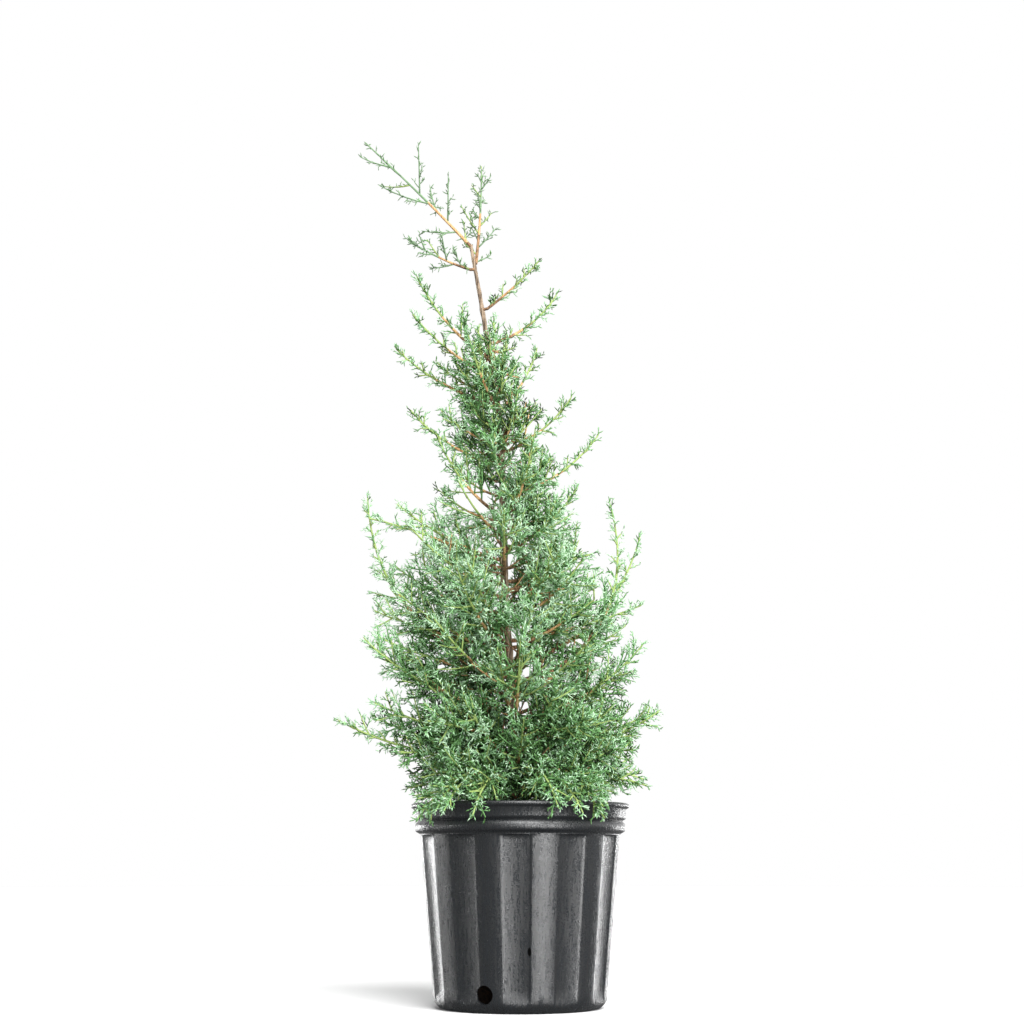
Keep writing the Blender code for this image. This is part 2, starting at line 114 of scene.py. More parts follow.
def makeGrainGroup():
    # noise stretched upwards: a mask that goes from 0 to 1, and a finer noise for relief
    group = bpy.data.node_groups.new("stretchedGrain", "ShaderNodeTree")
    for label, value in (("Scale", 100.0), ("Stretch", 1.0), ("Contrast", 0.2)):
        socket = group.interface.new_socket(label, in_out="INPUT", socket_type="NodeSocketFloat")
        socket.default_value = value
    for label in ("Mask", "Fine"):
        group.interface.new_socket(label, in_out="OUTPUT", socket_type="NodeSocketFloat")
    given = addNode(group, "NodeGroupInput").outputs
    place = addNode(group, "ShaderNodeTexCoord").outputs["Object"]
    parts = addNode(group, "ShaderNodeSeparateXYZ", {0: place}).outputs
    level = combine(group, "DIVIDE", parts[2], given["Stretch"])
    place = addNode(group, "ShaderNodeCombineXYZ", {0: parts[0], 1: parts[1], 2: level}).outputs[0]
    finer = combine(group, "MULTIPLY", given["Scale"], 3.1)
    coarse = {"Vector": place, "Scale": given["Scale"], "Detail": 3.0, "Roughness": 0.6}
    fine = {"Vector": place, "Scale": finer, "Detail": 2.0, "Roughness": 0.7}
    coarse, fine = (addNode(group, "ShaderNodeTexNoise", values).outputs["Fac"] for values in (coarse, fine))
    low, high = (combine(group, sign, 0.5, given["Contrast"]) for sign in ("SUBTRACT", "ADD"))
    mask = addNode(group, "ShaderNodeMapRange", {0: coarse, 1: low, 2: high}).outputs[0]
    addNode(group, "NodeGroupOutput", {"Mask": mask, "Fine": fine})
    return group


grainGroup = makeGrainGroup()


def grain(tree, scale, stretch, contrast):
    inputs = {"Scale": scale, "Stretch": stretch, "Contrast": contrast}
    node = addNode(tree, "ShaderNodeGroup", node_tree=grainGroup)
    feed(tree, node, inputs)
    return node.outputs["Mask"], node.outputs["Fine"]


def newMaterial(name, constants):
    material = bpy.data.materials.new(name)
    material.use_nodes = True
    shader = material.node_tree.nodes["Principled BSDF"]
    feed(material.node_tree, shader, constants)
    return material, material.node_tree, shader


def plasticMaterial():
    # black blow-moulded plastic: streaks drawn down the wall, and an orange peel that glints
    look = {
        "black": (0.003, 0.0035, 0.004),
        "film": (0.019, 0.022, 0.026),
        "streaks": (330.0, 40.0, 0.20),  # scale, stretch, contrast
        "peel": (640.0, 1.3, 0.20),
        "gloss": (0.08, 0.48, 0.40, 0.12),  # from where to where the mask gives which roughness
        "relief": (0.00032, 0.55),
    }
    material, tree, shader = newMaterial("blackPlastic", {"Specular IOR Level": 0.74})
    streaks, streaksFine = grain(tree, *look["streaks"])
    peel, peelFine = grain(tree, *look["peel"])
    both = combine(tree, "MULTIPLY", streaks, peel)
    feed(tree, shader, {
        "Base Color": mixColours(tree, both, look["black"], look["film"]),
        "Roughness": spread(tree, both, *look["gloss"]),
        "Normal": relief(tree, combine(tree, "ADD", streaksFine, peelFine), *look["relief"]),
    })
    return material


def soilMaterial():
    look = {"dark": (0.012, 0.008, 0.005), "light": (0.085, 0.050, 0.028), "crumbs": (210.0, 1.0, 0.18)}
    material, tree, shader = newMaterial("pottingMix", {"Roughness": 0.95})
    mask, fine = grain(tree, *look["crumbs"])
    colour = mixColours(tree, mask, look["dark"], look["light"])
    feed(tree, shader, {"Base Color": colour, "Normal": relief(tree, fine, 0.002)})
    return material


def barkMaterial(name, dark, light, scale, depth):
    # lengthways fibres with dark fissures
    material, tree, shader = newMaterial(name, {"Roughness": 0.86})
    fibre, fine = grain(tree, scale, 9.0, 0.13)
    colour = mixColours(tree, fibre, dark, light)
    height = relief(tree, combine(tree, "ADD", fibre, fine), depth)
    feed(tree, shader, {"Base Color": colour, "Normal": height})
    return material


def leafMaterial(name, colour, bloom):
    # scale leaves: a plain colour with a waxy bloom on every other scale, and painted shade where the relief
    # sinks between them
    material, tree, shader = newMaterial(name, {"Roughness": 0.62, "Specular IOR Level": 0.05})
    scales, _ = grain(tree, 480.0, 1.0, 0.15)
    light = tuple(channel + (1.0 - channel) * bloom for channel in colour)
    # painted shade: darker where the scales' relief is low
    scaleShadeColour = tuple(channel * (1.0 - bloom) for channel in colour)
    height = relief(tree, scales, 0.0003, 0.7)
    feed(tree, shader, {"Base Color": mixColours(tree, scales, scaleShadeColour, light), "Normal": height})
    return material


# the nick's faces: flat black, fully rough and without reflection, painted shade in the recess on a rough
# scuff
scarShadeLook = {"Base Color": (0.002, 0.002, 0.002), "Roughness": 1.0, "Specular IOR Level": 0.0}
barks = {
    # dark, light, scale of the fibres, relief
    "trunkBark": ((0.075, 0.048, 0.031), (0.39, 0.29, 0.20), 330.0, 0.0009),
    "boughBark": ((0.085, 0.045, 0.026), (0.42, 0.24, 0.12), 420.0, 0.0006),
    "youngBark": ((0.36, 0.17, 0.065), (0.70, 0.46, 0.22), 520.0, 0.0003),
}
leafTones = {
    # colour and bloom, the first five from the shaded inside of the crown to the tips: the darker ones are
    # dealt out as painted shade, the paler ones as painted light
    "deepGreen": ((0.010, 0.036, 0.003), 0.04),
    "mossGreen": ((0.040, 0.116, 0.016), 0.05),
    "seaGreen": ((0.128, 0.305, 0.090), 0.06),
    "silverGreen": ((0.290, 0.530, 0.272), 0.07),
    "paleSilver": ((0.520, 0.740, 0.500), 0.07),
    "sageGreen": ((0.175, 0.290, 0.150), 0.06),
    "limeGreen": ((0.285, 0.395, 0.105), 0.07),
}
materials = {
    "plastic": plasticMaterial(),
    "scarShade": newMaterial("scarShadePlastic", scarShadeLook)[0],
    "soil": soilMaterial(),
}
materials |= {name: barkMaterial(name, *look) for name, look in barks.items()}
materials |= {name: leafMaterial(name, *look) for name, look in leafTones.items()}
leafLooks = list(leafTones)
twigLooks = leafLooks + ["youngBark", "boughBark"]
print("materials ready")


# Shared ways of making a mesh


def addObject(name, data):
    thing = bpy.data.objects.new(name, data)
    scene.collection.objects.link(thing)
    return thing


def finishedMesh(thing):
    # its modifiers or its curve made a mesh
    return bpy.data.meshes.new_from_object(thing.evaluated_get(bpy.context.evaluated_depsgraph_get()))


def newPiece(name, mesh, looks, nodes=()):
    for look in looks:
        mesh.materials.append(materials[look])
    piece = addObject(name, mesh)
    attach(piece, "root")
    if nodes:
        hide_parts(*nodes)


def meshFrom(name, shape):
    mesh = bpy.data.meshes.new(name)
    shape.to_mesh(mesh)
    shape.free()
    return mesh


def spinProfile(places, steps):
    # places are (radius, height), from one end on the axis to the other
    shape = bmesh.new()
    verts = [shape.verts.new((radius, 0, height)) for radius, height in places]
    edges = [shape.edges.new(pair) for pair in zip(verts, verts[1:])]
    turn = {"axis": (0, 0, 1), "cent": (0, 0, 0), "angle": tau, "steps": steps, "use_merge": True}
    bmesh.ops.spin(shape, geom=verts + edges, **turn)
    bmesh.ops.remove_doubles(shape, verts=shape.verts, dist=0.00001)
    bmesh.ops.recalc_face_normals(shape, faces=shape.faces)
    return shape


def flatDirection(bearing):
    return Vector((cos(radians(bearing)), sin(radians(bearing)), 0.0))


def smoothStep(low, high, value):
    share = max(0.0, min(1.0, (value - low) / (high - low)))
    return share * share * (3 - 2 * share)


# The pot

pot = {
    "rimRadius": 0.1525,
    "height": 0.2755,
    "bodyTopRadius": 0.1396,
    "bodyTop": 0.2330,
    "bodyFootRadius": 0.1196,
    "bodyFoot": 0.0150,
    "baseRadius": 0.1050,
    "bandRadius": 0.1465,
    "groove": 0.0036,
    "wall": 0.0026,
    "innerGap": 0.0058,  # from the ribs' tops to the inside of the wall
    "skin": 0.0045,  # what lies deeper than this under the ribs' tops is the wall's inside
    "ribs": 11,
    "ribDepth": 0.0047,
    "ribBow": 0.0012,  # a rib is rounded by this much, and the hollow beside it is dished by the next
    "hollowBow": 0.0027,
    "ribFlank": 1.2,  # in degrees, as all bearings are
    "flankCrowding": 0.65,  # how much closer together the wall's steps are at a rib's flanks
    "firstRib": -76,
    "footFade": (-0.0050, 0.0060),  # from where to where the ribs rise, about the body's foot
    "topFade": (-0.0028, -0.0008),  # and end, about its top
    "bodyRows": 26,
    "stepsPerRib": 40,
    "waviness": 0.00025,
    "waves": (6, 6, 9),
    "sharpAngle": 48,
}
drain = {
    "count": 3,
    "first": -113.5,
    "radius": 0.0122,
    "height": 0.0245,
    "depth": 0.026,
    "sides": 28,
    "wobble": 0.05,  # a hole punched by hand isn't quite round
    "wobbles": 160,
}
nick = {
    # a small scar in front; its faces are painted flat black with no reflection, as painted shade in the
    # recess
    "bearing": -84.6,
    "height": 0.0800,
    "size": (0.0026, 0.0020, 0.0062),
    "edge": 1.03,  # how far from its middle it is dark, of its size
}


def wallRadius(height):
    share = (height - pot["bodyFoot"]) / (pot["bodyTop"] - pot["bodyFoot"])
    return pot["bodyFootRadius"] + (pot["bodyTopRadius"] - pot["bodyFootRadius"]) * share


def innerRadius(height):
    return wallRadius(height) - pot["innerGap"]


def ribDip(bearing):
    # how far the wall lies under the tops of the ribs: a rounded rib, then a dished hollow
    panel = pi / pot["ribs"]
    turn = (bearing - radians(pot["firstRib"]) + panel / 2) % (2 * panel)
    flank = radians(pot["ribFlank"]) / 2
    step = smoothStep(-flank, flank, turn) * (1 - smoothStep(panel - flank, panel + flank, turn))
    step = 1 - step - smoothStep(2 * panel - flank, 2 * panel + flank, turn)
    arch = 1 - (2 * (turn % panel) / panel - 1) ** 2
    rib = pot["ribBow"] * (1 - arch)
    hollow = pot["ribDepth"] - pot["hollowBow"] * (1 - arch)
    return rib + (hollow - rib) * step


def potProfile():
    top, body, foot, count = pot["height"], pot["bodyTop"], pot["bodyFoot"], pot["bodyRows"]
    rim, band, base = pot["rimRadius"], pot["bandRadius"], pot["baseRadius"]
    footRadius, groove = pot["bodyFootRadius"], band - pot["groove"]
    inside = groove - pot["wall"]
    rows = [foot + (body - foot) * i / count for i in range(count)]
    rows += [body - 0.0040, body - 0.0022, body - 0.0008, body]
    under = [
        (0.0, 0.0012), (base - 0.012, 0.0012), (base - 0.009, 0.0), (base, 0.0), (base + 0.0052, 0.0012),
        (footRadius - 0.0050, 0.0052), (footRadius - 0.0016, 0.0100),
    ]
    wall = [(wallRadius(height), height) for height in rows]
    bands = [
        (pot["bodyTopRadius"] + 0.0004, body + 0.0012), (band - 0.0034, body + 0.0030),
        (band - 0.0012, body + 0.0042), (band - 0.0002, body + 0.0062), (band, body + 0.0110),
        (band - 0.0004, body + 0.0146), (band - 0.0026, body + 0.0168), (groove, body + 0.0182),
        (groove + 0.0006, body + 0.0196), (band + 0.0004, body + 0.0212), (band + 0.0011, body + 0.0232),
        (band + 0.0012, top - 0.0084), (band + 0.0024, top - 0.0070), (rim - 0.0008, top - 0.0058),
        (rim, top - 0.0036), (rim - 0.0006, top - 0.0012), (rim - 0.0026, top),
        (rim - 0.0050, top - 0.0010),
    ]
    inner = [
        (inside + 0.0012, top - 0.0060), (inside, top - 0.0100),
        (innerRadius(body) + 0.0006, body + 0.0060), (innerRadius(body), body), (innerRadius(foot), foot),
        (base - 0.0020, pot["wall"]), (0.0, pot["wall"]),
    ]
    return under + wall + bands + inner


def ribbedShell():
    # the turned profile, its steps crowded at the ribs' flanks and its wall pushed in between the ribs
    shape = spinProfile(potProfile(), pot["ribs"] * pot["stepsPerRib"])
    foot, body = pot["bodyFoot"], pot["bodyTop"]
    firstRib = radians(pot["firstRib"])
    for vert in shape.verts:
        radius = hypot(vert.co.x, vert.co.y)
        if vert.co.z > body + 0.0001 or radius < wallRadius(vert.co.z) - pot["skin"]:
            continue
        bearing = atan2(vert.co.y, vert.co.x)
        phase = 2 * pot["ribs"] * (bearing - firstRib) + pi
        bearing -= pot["flankCrowding"] * sin(phase) / (2 * pot["ribs"])
        vert.co.x, vert.co.y = radius * cos(bearing), radius * sin(bearing)
        ends = smoothStep(*(foot + shift for shift in pot["footFade"]), vert.co.z)
        ends *= 1 - smoothStep(*(body + shift for shift in pot["topFade"]), vert.co.z)
        across, along, up = pot["waves"]
        wave = noise.noise(Vector((cos(bearing) * across, sin(bearing) * along, vert.co.z * up)))
        scale = (radius - ribDip(bearing) * ends + wave * pot["waviness"] * ends) / radius
        vert.co.x *= scale
        vert.co.y *= scale
    return meshFrom("pot", shape)


def drainCutter(number):
    bearing = radians(drain["first"]) + number * tau / drain["count"]
    place = Vector((cos(bearing), sin(bearing), 0)) * pot["bodyFootRadius"]
    place.z = drain["height"]
    wobbles = drain["wobbles"]
    sizes = {"radius1": drain["radius"], "radius2": drain["radius"], "depth": drain["depth"]}
    hole = bmesh.new()
    bmesh.ops.create_cone(hole, cap_ends=True, segments=drain["sides"], **sizes)
    for vert in hole.verts:
        spot = Vector((vert.co.x * wobbles, vert.co.y * wobbles, number * 7.0))
        vert.co.xy *= 1 + drain["wobble"] * noise.noise(spot)
    turn = Matrix.Rotation(bearing, 4, "Z") @ Matrix.Rotation(pi / 2, 4, "Y")
    bmesh.ops.transform(hole, verts=hole.verts, matrix=Matrix.Translation(place) @ turn)
    return meshFrom("drain", hole)


def nickCutter(place):
    chip = bmesh.new()
    shaped = Matrix.Translation(place) @ Matrix.Diagonal((*nick["size"], 1.0))
    bmesh.ops.create_icosphere(chip, subdivisions=2, radius=1.0, matrix=shaped)
    return meshFrom("nick", chip)


def makePot():
    nickPlace = flatDirection(nick["bearing"])
    nickPlace *= wallRadius(nick["height"]) - ribDip(radians(nick["bearing"]))
    nickPlace.z = nick["height"]
    blank = addObject("potBlank", ribbedShell())
    cutters = [addObject("drain", drainCutter(i)) for i in range(drain["count"])]
    cutters.append(addObject("nick", nickCutter(nickPlace)))
    for cutter in cutters:
        cut = blank.modifiers.new(cutter.name, "BOOLEAN")
        cut.operation = "DIFFERENCE"
        cut.object = cutter
    mesh = finishedMesh(blank)
    for thing in cutters + [blank]:
        bpy.data.objects.remove(thing, do_unlink=True)
    mesh.shade_smooth()
    mesh.set_sharp_from_angle(angle=radians(pot["sharpAngle"]))
    # the verts in the nick; the faces made only of them take the flat black material, painted shade
    scarShadeVerts = set()
    for vert in mesh.vertices:
        offset = vert.co - nickPlace
        if hypot(*(part / size for part, size in zip(offset, nick["size"]))) < nick["edge"]:
            scarShadeVerts.add(vert.index)
    for face in mesh.polygons:
        if scarShadeVerts.issuperset(face.vertices):
            face.material_index = 1
    newPiece("nurseryPot", mesh, ["plastic", "scarShade"], ["pot"])


makePot()
print("pot ready")


# The potting mix

soil = {
    "top": 0.2520,
    "inset": 0.0009,  # from the inside of the pot's wall
    "rings": 30,
    "steps": 96,
    "lumps": 0.0027,
    "lumpScale": 70,
    "lumpNoise": (0.7, 2.0, 3),  # roughness, how much finer each octave is, octaves
    "taperHeight": 0.070,  # it follows the wall down to this height, then narrows towards the base
    "footInset": 0.040,
    "chips": 320,
    "chipSizes": ((0.004, 0.012), (0.003, 0.006), (0.001, 0.0025)),
    "chipTilt": 0.5,
    "chipCorners": (0.7, 1.15),  # how far each corner of a flake reaches, of its size
}


def makeSoil():
    edge = innerRadius(pot["bodyTop"]) - soil["inset"]
    top = [(edge * i / soil["rings"], soil["top"] - 0.002) for i in range(soil["rings"] + 1)]
    below = [
        (edge, pot["bodyTop"]),
        (innerRadius(soil["taperHeight"]) - soil["inset"], soil["taperHeight"]),
        (pot["baseRadius"] - soil["footInset"], pot["wall"] + soil["inset"]),
        (0.0, pot["wall"] + soil["inset"]),
    ]
    shape = spinProfile(top + below, soil["steps"])
    for vert in shape.verts:
        if vert.co.z > pot["bodyTop"] + 0.001:
            vert.co.z += noise.fractal(vert.co * soil["lumpScale"], *soil["lumpNoise"]) * soil["lumps"]
    rng = random.Random(4)
    for i in range(soil["chips"]):
        # flakes of bark lying on the mix
        turn = rng.uniform(0, tau)
        out = sqrt(rng.uniform(0.01, 0.96)) * (edge - 0.008)
        chip = bmesh.ops.create_cube(shape, size=1.0)["verts"]
        size = Matrix.Diagonal([rng.uniform(*limits) for limits in soil["chipSizes"]])
        lie = Matrix.Rotation(rng.uniform(0, tau), 3, "Z")
        lie = lie @ Matrix.Rotation(rng.uniform(-soil["chipTilt"], soil["chipTilt"]), 3, "X")
        for vert in chip:
            vert.co *= rng.uniform(*soil["chipCorners"])
            vert.co = lie @ (size @ vert.co)
            vert.co += Vector((out * cos(turn), out * sin(turn), soil["top"] - 0.0005))
    newPiece("pottingMix", meshFrom("soil", shape), ["soil"], ["soil"])


makeSoil()
print("potting mix ready")


# The limbs, by the same rule and the same named sizes as the solids

trunk = {
    "places": (  # height, sideways place, depth
        (0.2523, -0.0080, 0.000),
        (0.400, -0.0100, 0.004),
        (0.560, -0.0210, -0.003),
        (0.830, -0.0290, 0.004),
        (0.950, -0.0480, 0.000),
        (1.098, -0.0725, 0.000),
    ),
    "footRadius": 0.0074,
    "topRadius": 0.0026,
    "flare": 0.0040,
    "flareHeight": 0.012,
    "sink": 0.004,  # how far its foot goes into the mix
    "rings": 420,
    "crowding": 1.05,  # how much closer together they are at its foot
    "sides": 32,
}
shoots = {
    # bearing, height it leaves the trunk, reach, rise, sag, spread of its sprays, share that is bough
    "top_fork": (70, 1.072, 0.030, 0.158, 0.012, 0.040),
    "top_left": (197, 1.060, 0.103, 0.035, 0.008, 0.042),
    "crown_right": (346, 0.997, 0.086, 0.068, 0.006, 0.042),
    "crown_left": (168, 0.930, 0.112, 0.127, 0.020, 0.045),
    "high_right": (17, 0.945, 0.108, 0.087, 0.022, 0.045),
    "high_left": (203, 0.900, 0.126, 0.075, 0.018, 0.045),
    "shoulder_left": (163, 0.857, 0.160, 0.095, 0.020, 0.050),
    "high_front": (248, 0.848, 0.112, 0.080, 0.018, 0.055),
    "high_back": (92, 0.880, 0.100, 0.140, 0.020, 0.055),
    "shoulder_right": (48, 0.850, 0.086, 0.106, 0.016, 0.050),
    "middle_right": (342, 0.782, 0.106, 0.072, 0.018, 0.050),
    "long_right": (8, 0.715, 0.141, 0.095, 0.026, 0.050),
    "middle_left": (190, 0.764, 0.132, 0.072, 0.022, 0.050),
    "middle_front_left": (226, 0.688, 0.130, 0.090, 0.026, 0.066),
    "middle_front": (292, 0.672, 0.120, 0.115, 0.030, 0.066),
    "low_middle_right": (326, 0.638, 0.126, 0.076, 0.024, 0.062),
    "left_arm": (186, 0.610, 0.194, 0.068, -0.016, 0.055, 0.50),
    "left_plume": (172, 0.478, 0.210, 0.243, 0.110, 0.055, 0.42),
    "right_plume": (1, 0.436, 0.142, 0.272, 0.125, 0.052, 0.42),
    "inner_left": (200, 0.545, 0.142, 0.090, 0.036, 0.078),
    "inner_right": (352, 0.575, 0.118, 0.080, 0.030, 0.072),
    "far_right": (15, 0.470, 0.198, 0.196, 0.070, 0.066, 0.36),
    "front_right": (322, 0.532, 0.154, 0.102, 0.032, 0.072),
    "low_left": (192, 0.408, 0.212, 0.094, 0.034, 0.074, 0.36),
    "left_sweep": (180, 0.338, 0.248, 0.054, 0.030, 0.062, 0.36),
    "right_sweep": (0, 0.340, 0.204, 0.064, 0.026, 0.066, 0.36),
    "low_right": (344, 0.390, 0.188, 0.103, 0.032, 0.074, 0.36),
    "low_front": (273, 0.376, 0.172, 0.110, 0.034, 0.082, 0.34),
    "front_left": (243, 0.492, 0.156, 0.098, 0.030, 0.078),
    "skirt_front_right": (306, 0.352, 0.175, 0.030, -0.004, 0.080),
    "skirt_front_left": (231, 0.360, 0.182, 0.020, -0.008, 0.080),
    "skirt_left": (236, 0.310, 0.186, -0.050, -0.062, 0.066, 0.34),
    "skirt_right": (311, 0.309, 0.178, -0.040, -0.060, 0.066, 0.34),
    "skirt_far_left": (204, 0.323, 0.170, 0.020, -0.012, 0.064),
    "skirt_far_right": (338, 0.326, 0.178, 0.020, -0.012, 0.064),
}
trunkFoot, trunkTop = trunk["places"][0][0], trunk["places"][-1][0]
backRule = {
    "count": 8,
    "bearings": (35, 145),
    "ranges": ((0.312, 0.800), (0.200, 0.115), (0.030, 0.130)),  # height, reach, rise
    "sag": 0.028,
    "spread": 0.076,
    "boughs": 2,
    "boughShare": 0.36,
}
leader = {"bearing": 180, "reach": 0.158, "rise": 0.160, "sag": -0.004, "spread": 0.080}
wood = {
    "steps": 26,  # of a stem's line
    "solidSteps": 5,
    "rings": 6,  # to each step of a bough's
    "sides": 12,
    "thickness": 0.0014,
    "thickening": 0.0095,
    "tip": 0.0009,
    "taper": 0.8,
}
goldenAngle = 137.5
crown = {
    # height, and how far the dense part reaches from the trunk there, to the left and to the right
    "widths": (
        (0.250, 0.160, 0.198), (0.320, 0.168, 0.206), (0.360, 0.184, 0.194), (0.400, 0.210, 0.202),
        (0.450, 0.208, 0.214), (0.500, 0.212, 0.192), (0.575, 0.218, 0.160), (0.620, 0.198, 0.130),
        (0.660, 0.150, 0.114), (0.700, 0.108, 0.100), (0.745, 0.078, 0.086), (0.790, 0.072, 0.070),
        (0.830, 0.086, 0.066), (0.872, 0.074, 0.054), (0.915, 0.062, 0.040), (0.960, 0.046, 0.032),
        (1.100, 0.028, 0.028),
    ),
    "airy": 0.40,  # how long a spray beyond it is, of its full length
}
inner = {
    # short shoots that fill the crown between the masses
    "count": 64,
    "heights": (0.300, 0.940),
    "crowding": 1.35,  # how much closer together they are low down
    "reach": 0.78,  # of the crown's width there
    "rise": 0.50,
    "sag": 0.014,
    "spread": 0.062,
}
extraShoots = {
    # bearings, lowest and highest foot, reach, rise, sag, spread
    # over the rim: some that hang past it in front, some that lie above it all round, longer on the right
    "hem": ((226, 240, 253, 288, 299, 310), (0.296, 0.312), 0.184, -0.044, -0.060, 0.054),
    "collar": ((20, 56, 92, 128, 164, 196, 214, 322, 345), (0.290, 0.310), 0.150, 0.004, -0.022, 0.056),
    "brim": ((351, 7), (0.300, 0.318), 0.184, 0.000, -0.030, 0.056),
    # long ones on both sides, low and in the middle
    "flank": ((177, 191, 3), (0.345, 0.372), 0.198, 0.052, 0.014, 0.064),
    "side": ((183, 358), (0.496, 0.510), 0.190, 0.050, 0.010, 0.062),
    # short ones in front of the trunk high up, a fan of thin stems from its foot, two high on the left, and
    # two long ones lower there
    "cover": ((252, 281, 304, 262, 238, 292), (0.770, 0.915), 0.044, 0.056, 0.010, 0.044),
    "fan": ((8, 63, 118, 172, 218, 247, 281, 318), (0.262, 0.276), 0.100, 0.052, 0.004, 0.046),
    "tuft": ((186, 178), (0.792, 0.915), 0.088, 0.050, 0.010, 0.048),
    "edge": ((172, 188), (0.430, 0.470), 0.188, 0.052, 0.010, 0.060),
}


def trunkLine(height):
    # Catmull-Rom through the named places
    places = [Vector((across, depth, level)) for level, across, depth in trunk["places"]]
    places = [places[0] * 2 - places[1]] + places + [places[-1] * 2 - places[-2]]
    index = 1
    while index < len(places) - 3 and height > places[index + 1].z:
        index += 1
    before, start, end, after = places[index - 1 : index + 3]
    t = (height - start.z) / (end.z - start.z)
    point = 0.5 * (
        2 * start
        + (end - before) * t
        + (2 * before - 5 * start + 4 * end - after) * t**2
        + (3 * start - before - 3 * end + after) * t**3
    )
    return Vector((point.x, point.y, height))


def trunkRadius(height):
    above, taper = height - trunkFoot, trunk["topRadius"] - trunk["footRadius"]
    plain = trunk["footRadius"] + taper * above / (trunkTop - trunkFoot)
    return plain + trunk["flare"] * exp(-above / trunk["flareHeight"])


def trunkDirection(height):
    return (trunkLine(height + 0.004) - trunkLine(height - 0.004)).normalized()


def bentLine(start, end, sag):
    run = end - start
    along = run.normalized()
    flat = Vector((run.x, run.y, 0.0)).normalized()
    control = (start + end) / 2 + (flat * along.z - Vector((0, 0, 1)) * along.dot(flat)) * sag
    shares = [i / wood["steps"] for i in range(wood["steps"] + 1)]
    return [start * (1 - t) ** 2 + control * 2 * t * (1 - t) + end * t**2 for t in shares]


def shootLine(bearing, height, reach, rise, sag):
    axis, flat, centre = trunkDirection(height), flatDirection(bearing), trunkLine(height)
    out = (flat - axis * flat.dot(axis)).normalized()
    thick = wood["thickness"] + wood["thickening"] * hypot(reach, rise)
    start = centre + out * (trunkRadius(height) + thick * 2)
    tip = centre + flat * reach + Vector((0, 0, rise))
    return [centre + out * trunkRadius(height) * 0.4] + bentLine(start, tip, sag), thick


def crownWidth(height, towards):
    # towards is -1 on the left, 1 on the right
    heights, left, right = zip(*crown["widths"])
    left, right = (float(np.interp(height, heights, widths)) for widths in (left, right))
    return left + (right - left) * (towards + 1) / 2


def planShoots():
    # for each mass: points, thickness, spread, share along the line where the foliage begins
    table = dict(shoots)
    first, last = backRule["bearings"]
    for i in range(backRule["count"]):
        share = i / (backRule["count"] - 1)
        height, reach, rise = (low + (high - low) * share for low, high in backRule["ranges"])
        bearing = first + i * goldenAngle % (last - first)
        bough = backRule["boughShare"] if i < backRule["boughs"] else 0.0
        table[f"back_{i + 1}"] = (bearing, height, reach, rise, backRule["sag"], backRule["spread"], bough)
    for i in range(inner["count"]):
        low, high = inner["heights"]
        height = low + (high - low) * ((i + 0.5) / inner["count"]) ** inner["crowding"]
        bearing = i * goldenAngle % 360
        reach = crownWidth(height, cos(radians(bearing))) * inner["reach"]
        rise = reach * inner["rise"]
        table[f"inner_{i + 1}"] = (bearing, height, reach, rise, inner["sag"], inner["spread"])
    for group, (bearings, (low, high), *sizes) in extraShoots.items():
        for i, bearing in enumerate(bearings):
            table[f"{group}_{i + 1}"] = (bearing, low + (high - low) * (i * 0.618 % 1), *sizes)
    end = trunkLine(trunkTop)
    foot = end - trunkDirection(trunkTop) * 0.003
    tip = end + flatDirection(leader["bearing"]) * leader["reach"] + Vector((0, 0, leader["rise"]))
    plan = {"leader": (bentLine(foot, tip, leader["sag"]), trunk["topRadius"], leader["spread"], 0.0)}
    for name, (bearing, height, reach, rise, sag, spreadOf, *bough) in table.items():
        begin = 0.0
        if any(bough):
            begin = (max(2, round(bough[0] * (wood["solidSteps"] + 1))) - 1) / wood["solidSteps"]
        plan[name] = (*shootLine(bearing, height, reach, rise, sag), spreadOf, begin)
    return plan


def addTube(shape, points, radii, sides):
    curve = bpy.data.curves.new("limb", "CURVE")
    curve.dimensions = "3D"
    curve.bevel_depth = 1.0
    curve.bevel_resolution = (sides - 4) // 2
    curve.use_fill_caps = True
    spline = curve.splines.new("POLY")
    spline.points.add(len(points) - 1)
    for knot, point, radius in zip(spline.points, points, radii):
        knot.co = (*point, 1.0)
        knot.radius = radius
    holder = addObject("limb", curve)
    mesh = finishedMesh(holder)
    shape.from_mesh(mesh)
    bpy.data.objects.remove(holder, do_unlink=True)
    bpy.data.curves.remove(curve)
    bpy.data.meshes.remove(mesh)


skin = {
    "strips": (420, 420, 62),
    "fissures": 0.55,
    "finer": (2.7, 0.4),  # how much finer a second pattern is, and its strength
    "knots": 55,
    "knotShare": 0.8,
    "trunkDepth": 0.000682,
    "boughDepth": 0.00028,
}


def limbRadius(thick, share):
    # at this share of the length of a bough and its stem together
    return thick + (wood["tip"] - thick) * share ** wood["taper"]


def addBarkedLimb(shape, points, radii, sides, depth):
    # a tube whose skin is drawn into ridges and fissures along the limb, with knots here and there
    start = len(shape.verts)
    finer, strength = skin["finer"]
    addTube(shape, points, radii, sides)
    shape.verts.ensure_lookup_table()
    shape.normal_update()
    for vert in shape.verts[start:]:
        place = vert.co * Vector(skin["strips"])
        strip = abs(noise.noise(place)) * 2 - skin["fissures"] + strength * noise.noise(place * finer)
        knot = noise.noise(vert.co * skin["knots"])
        vert.co += vert.normal * depth * (strip + skin["knotShare"] * knot)


plan = planShoots()


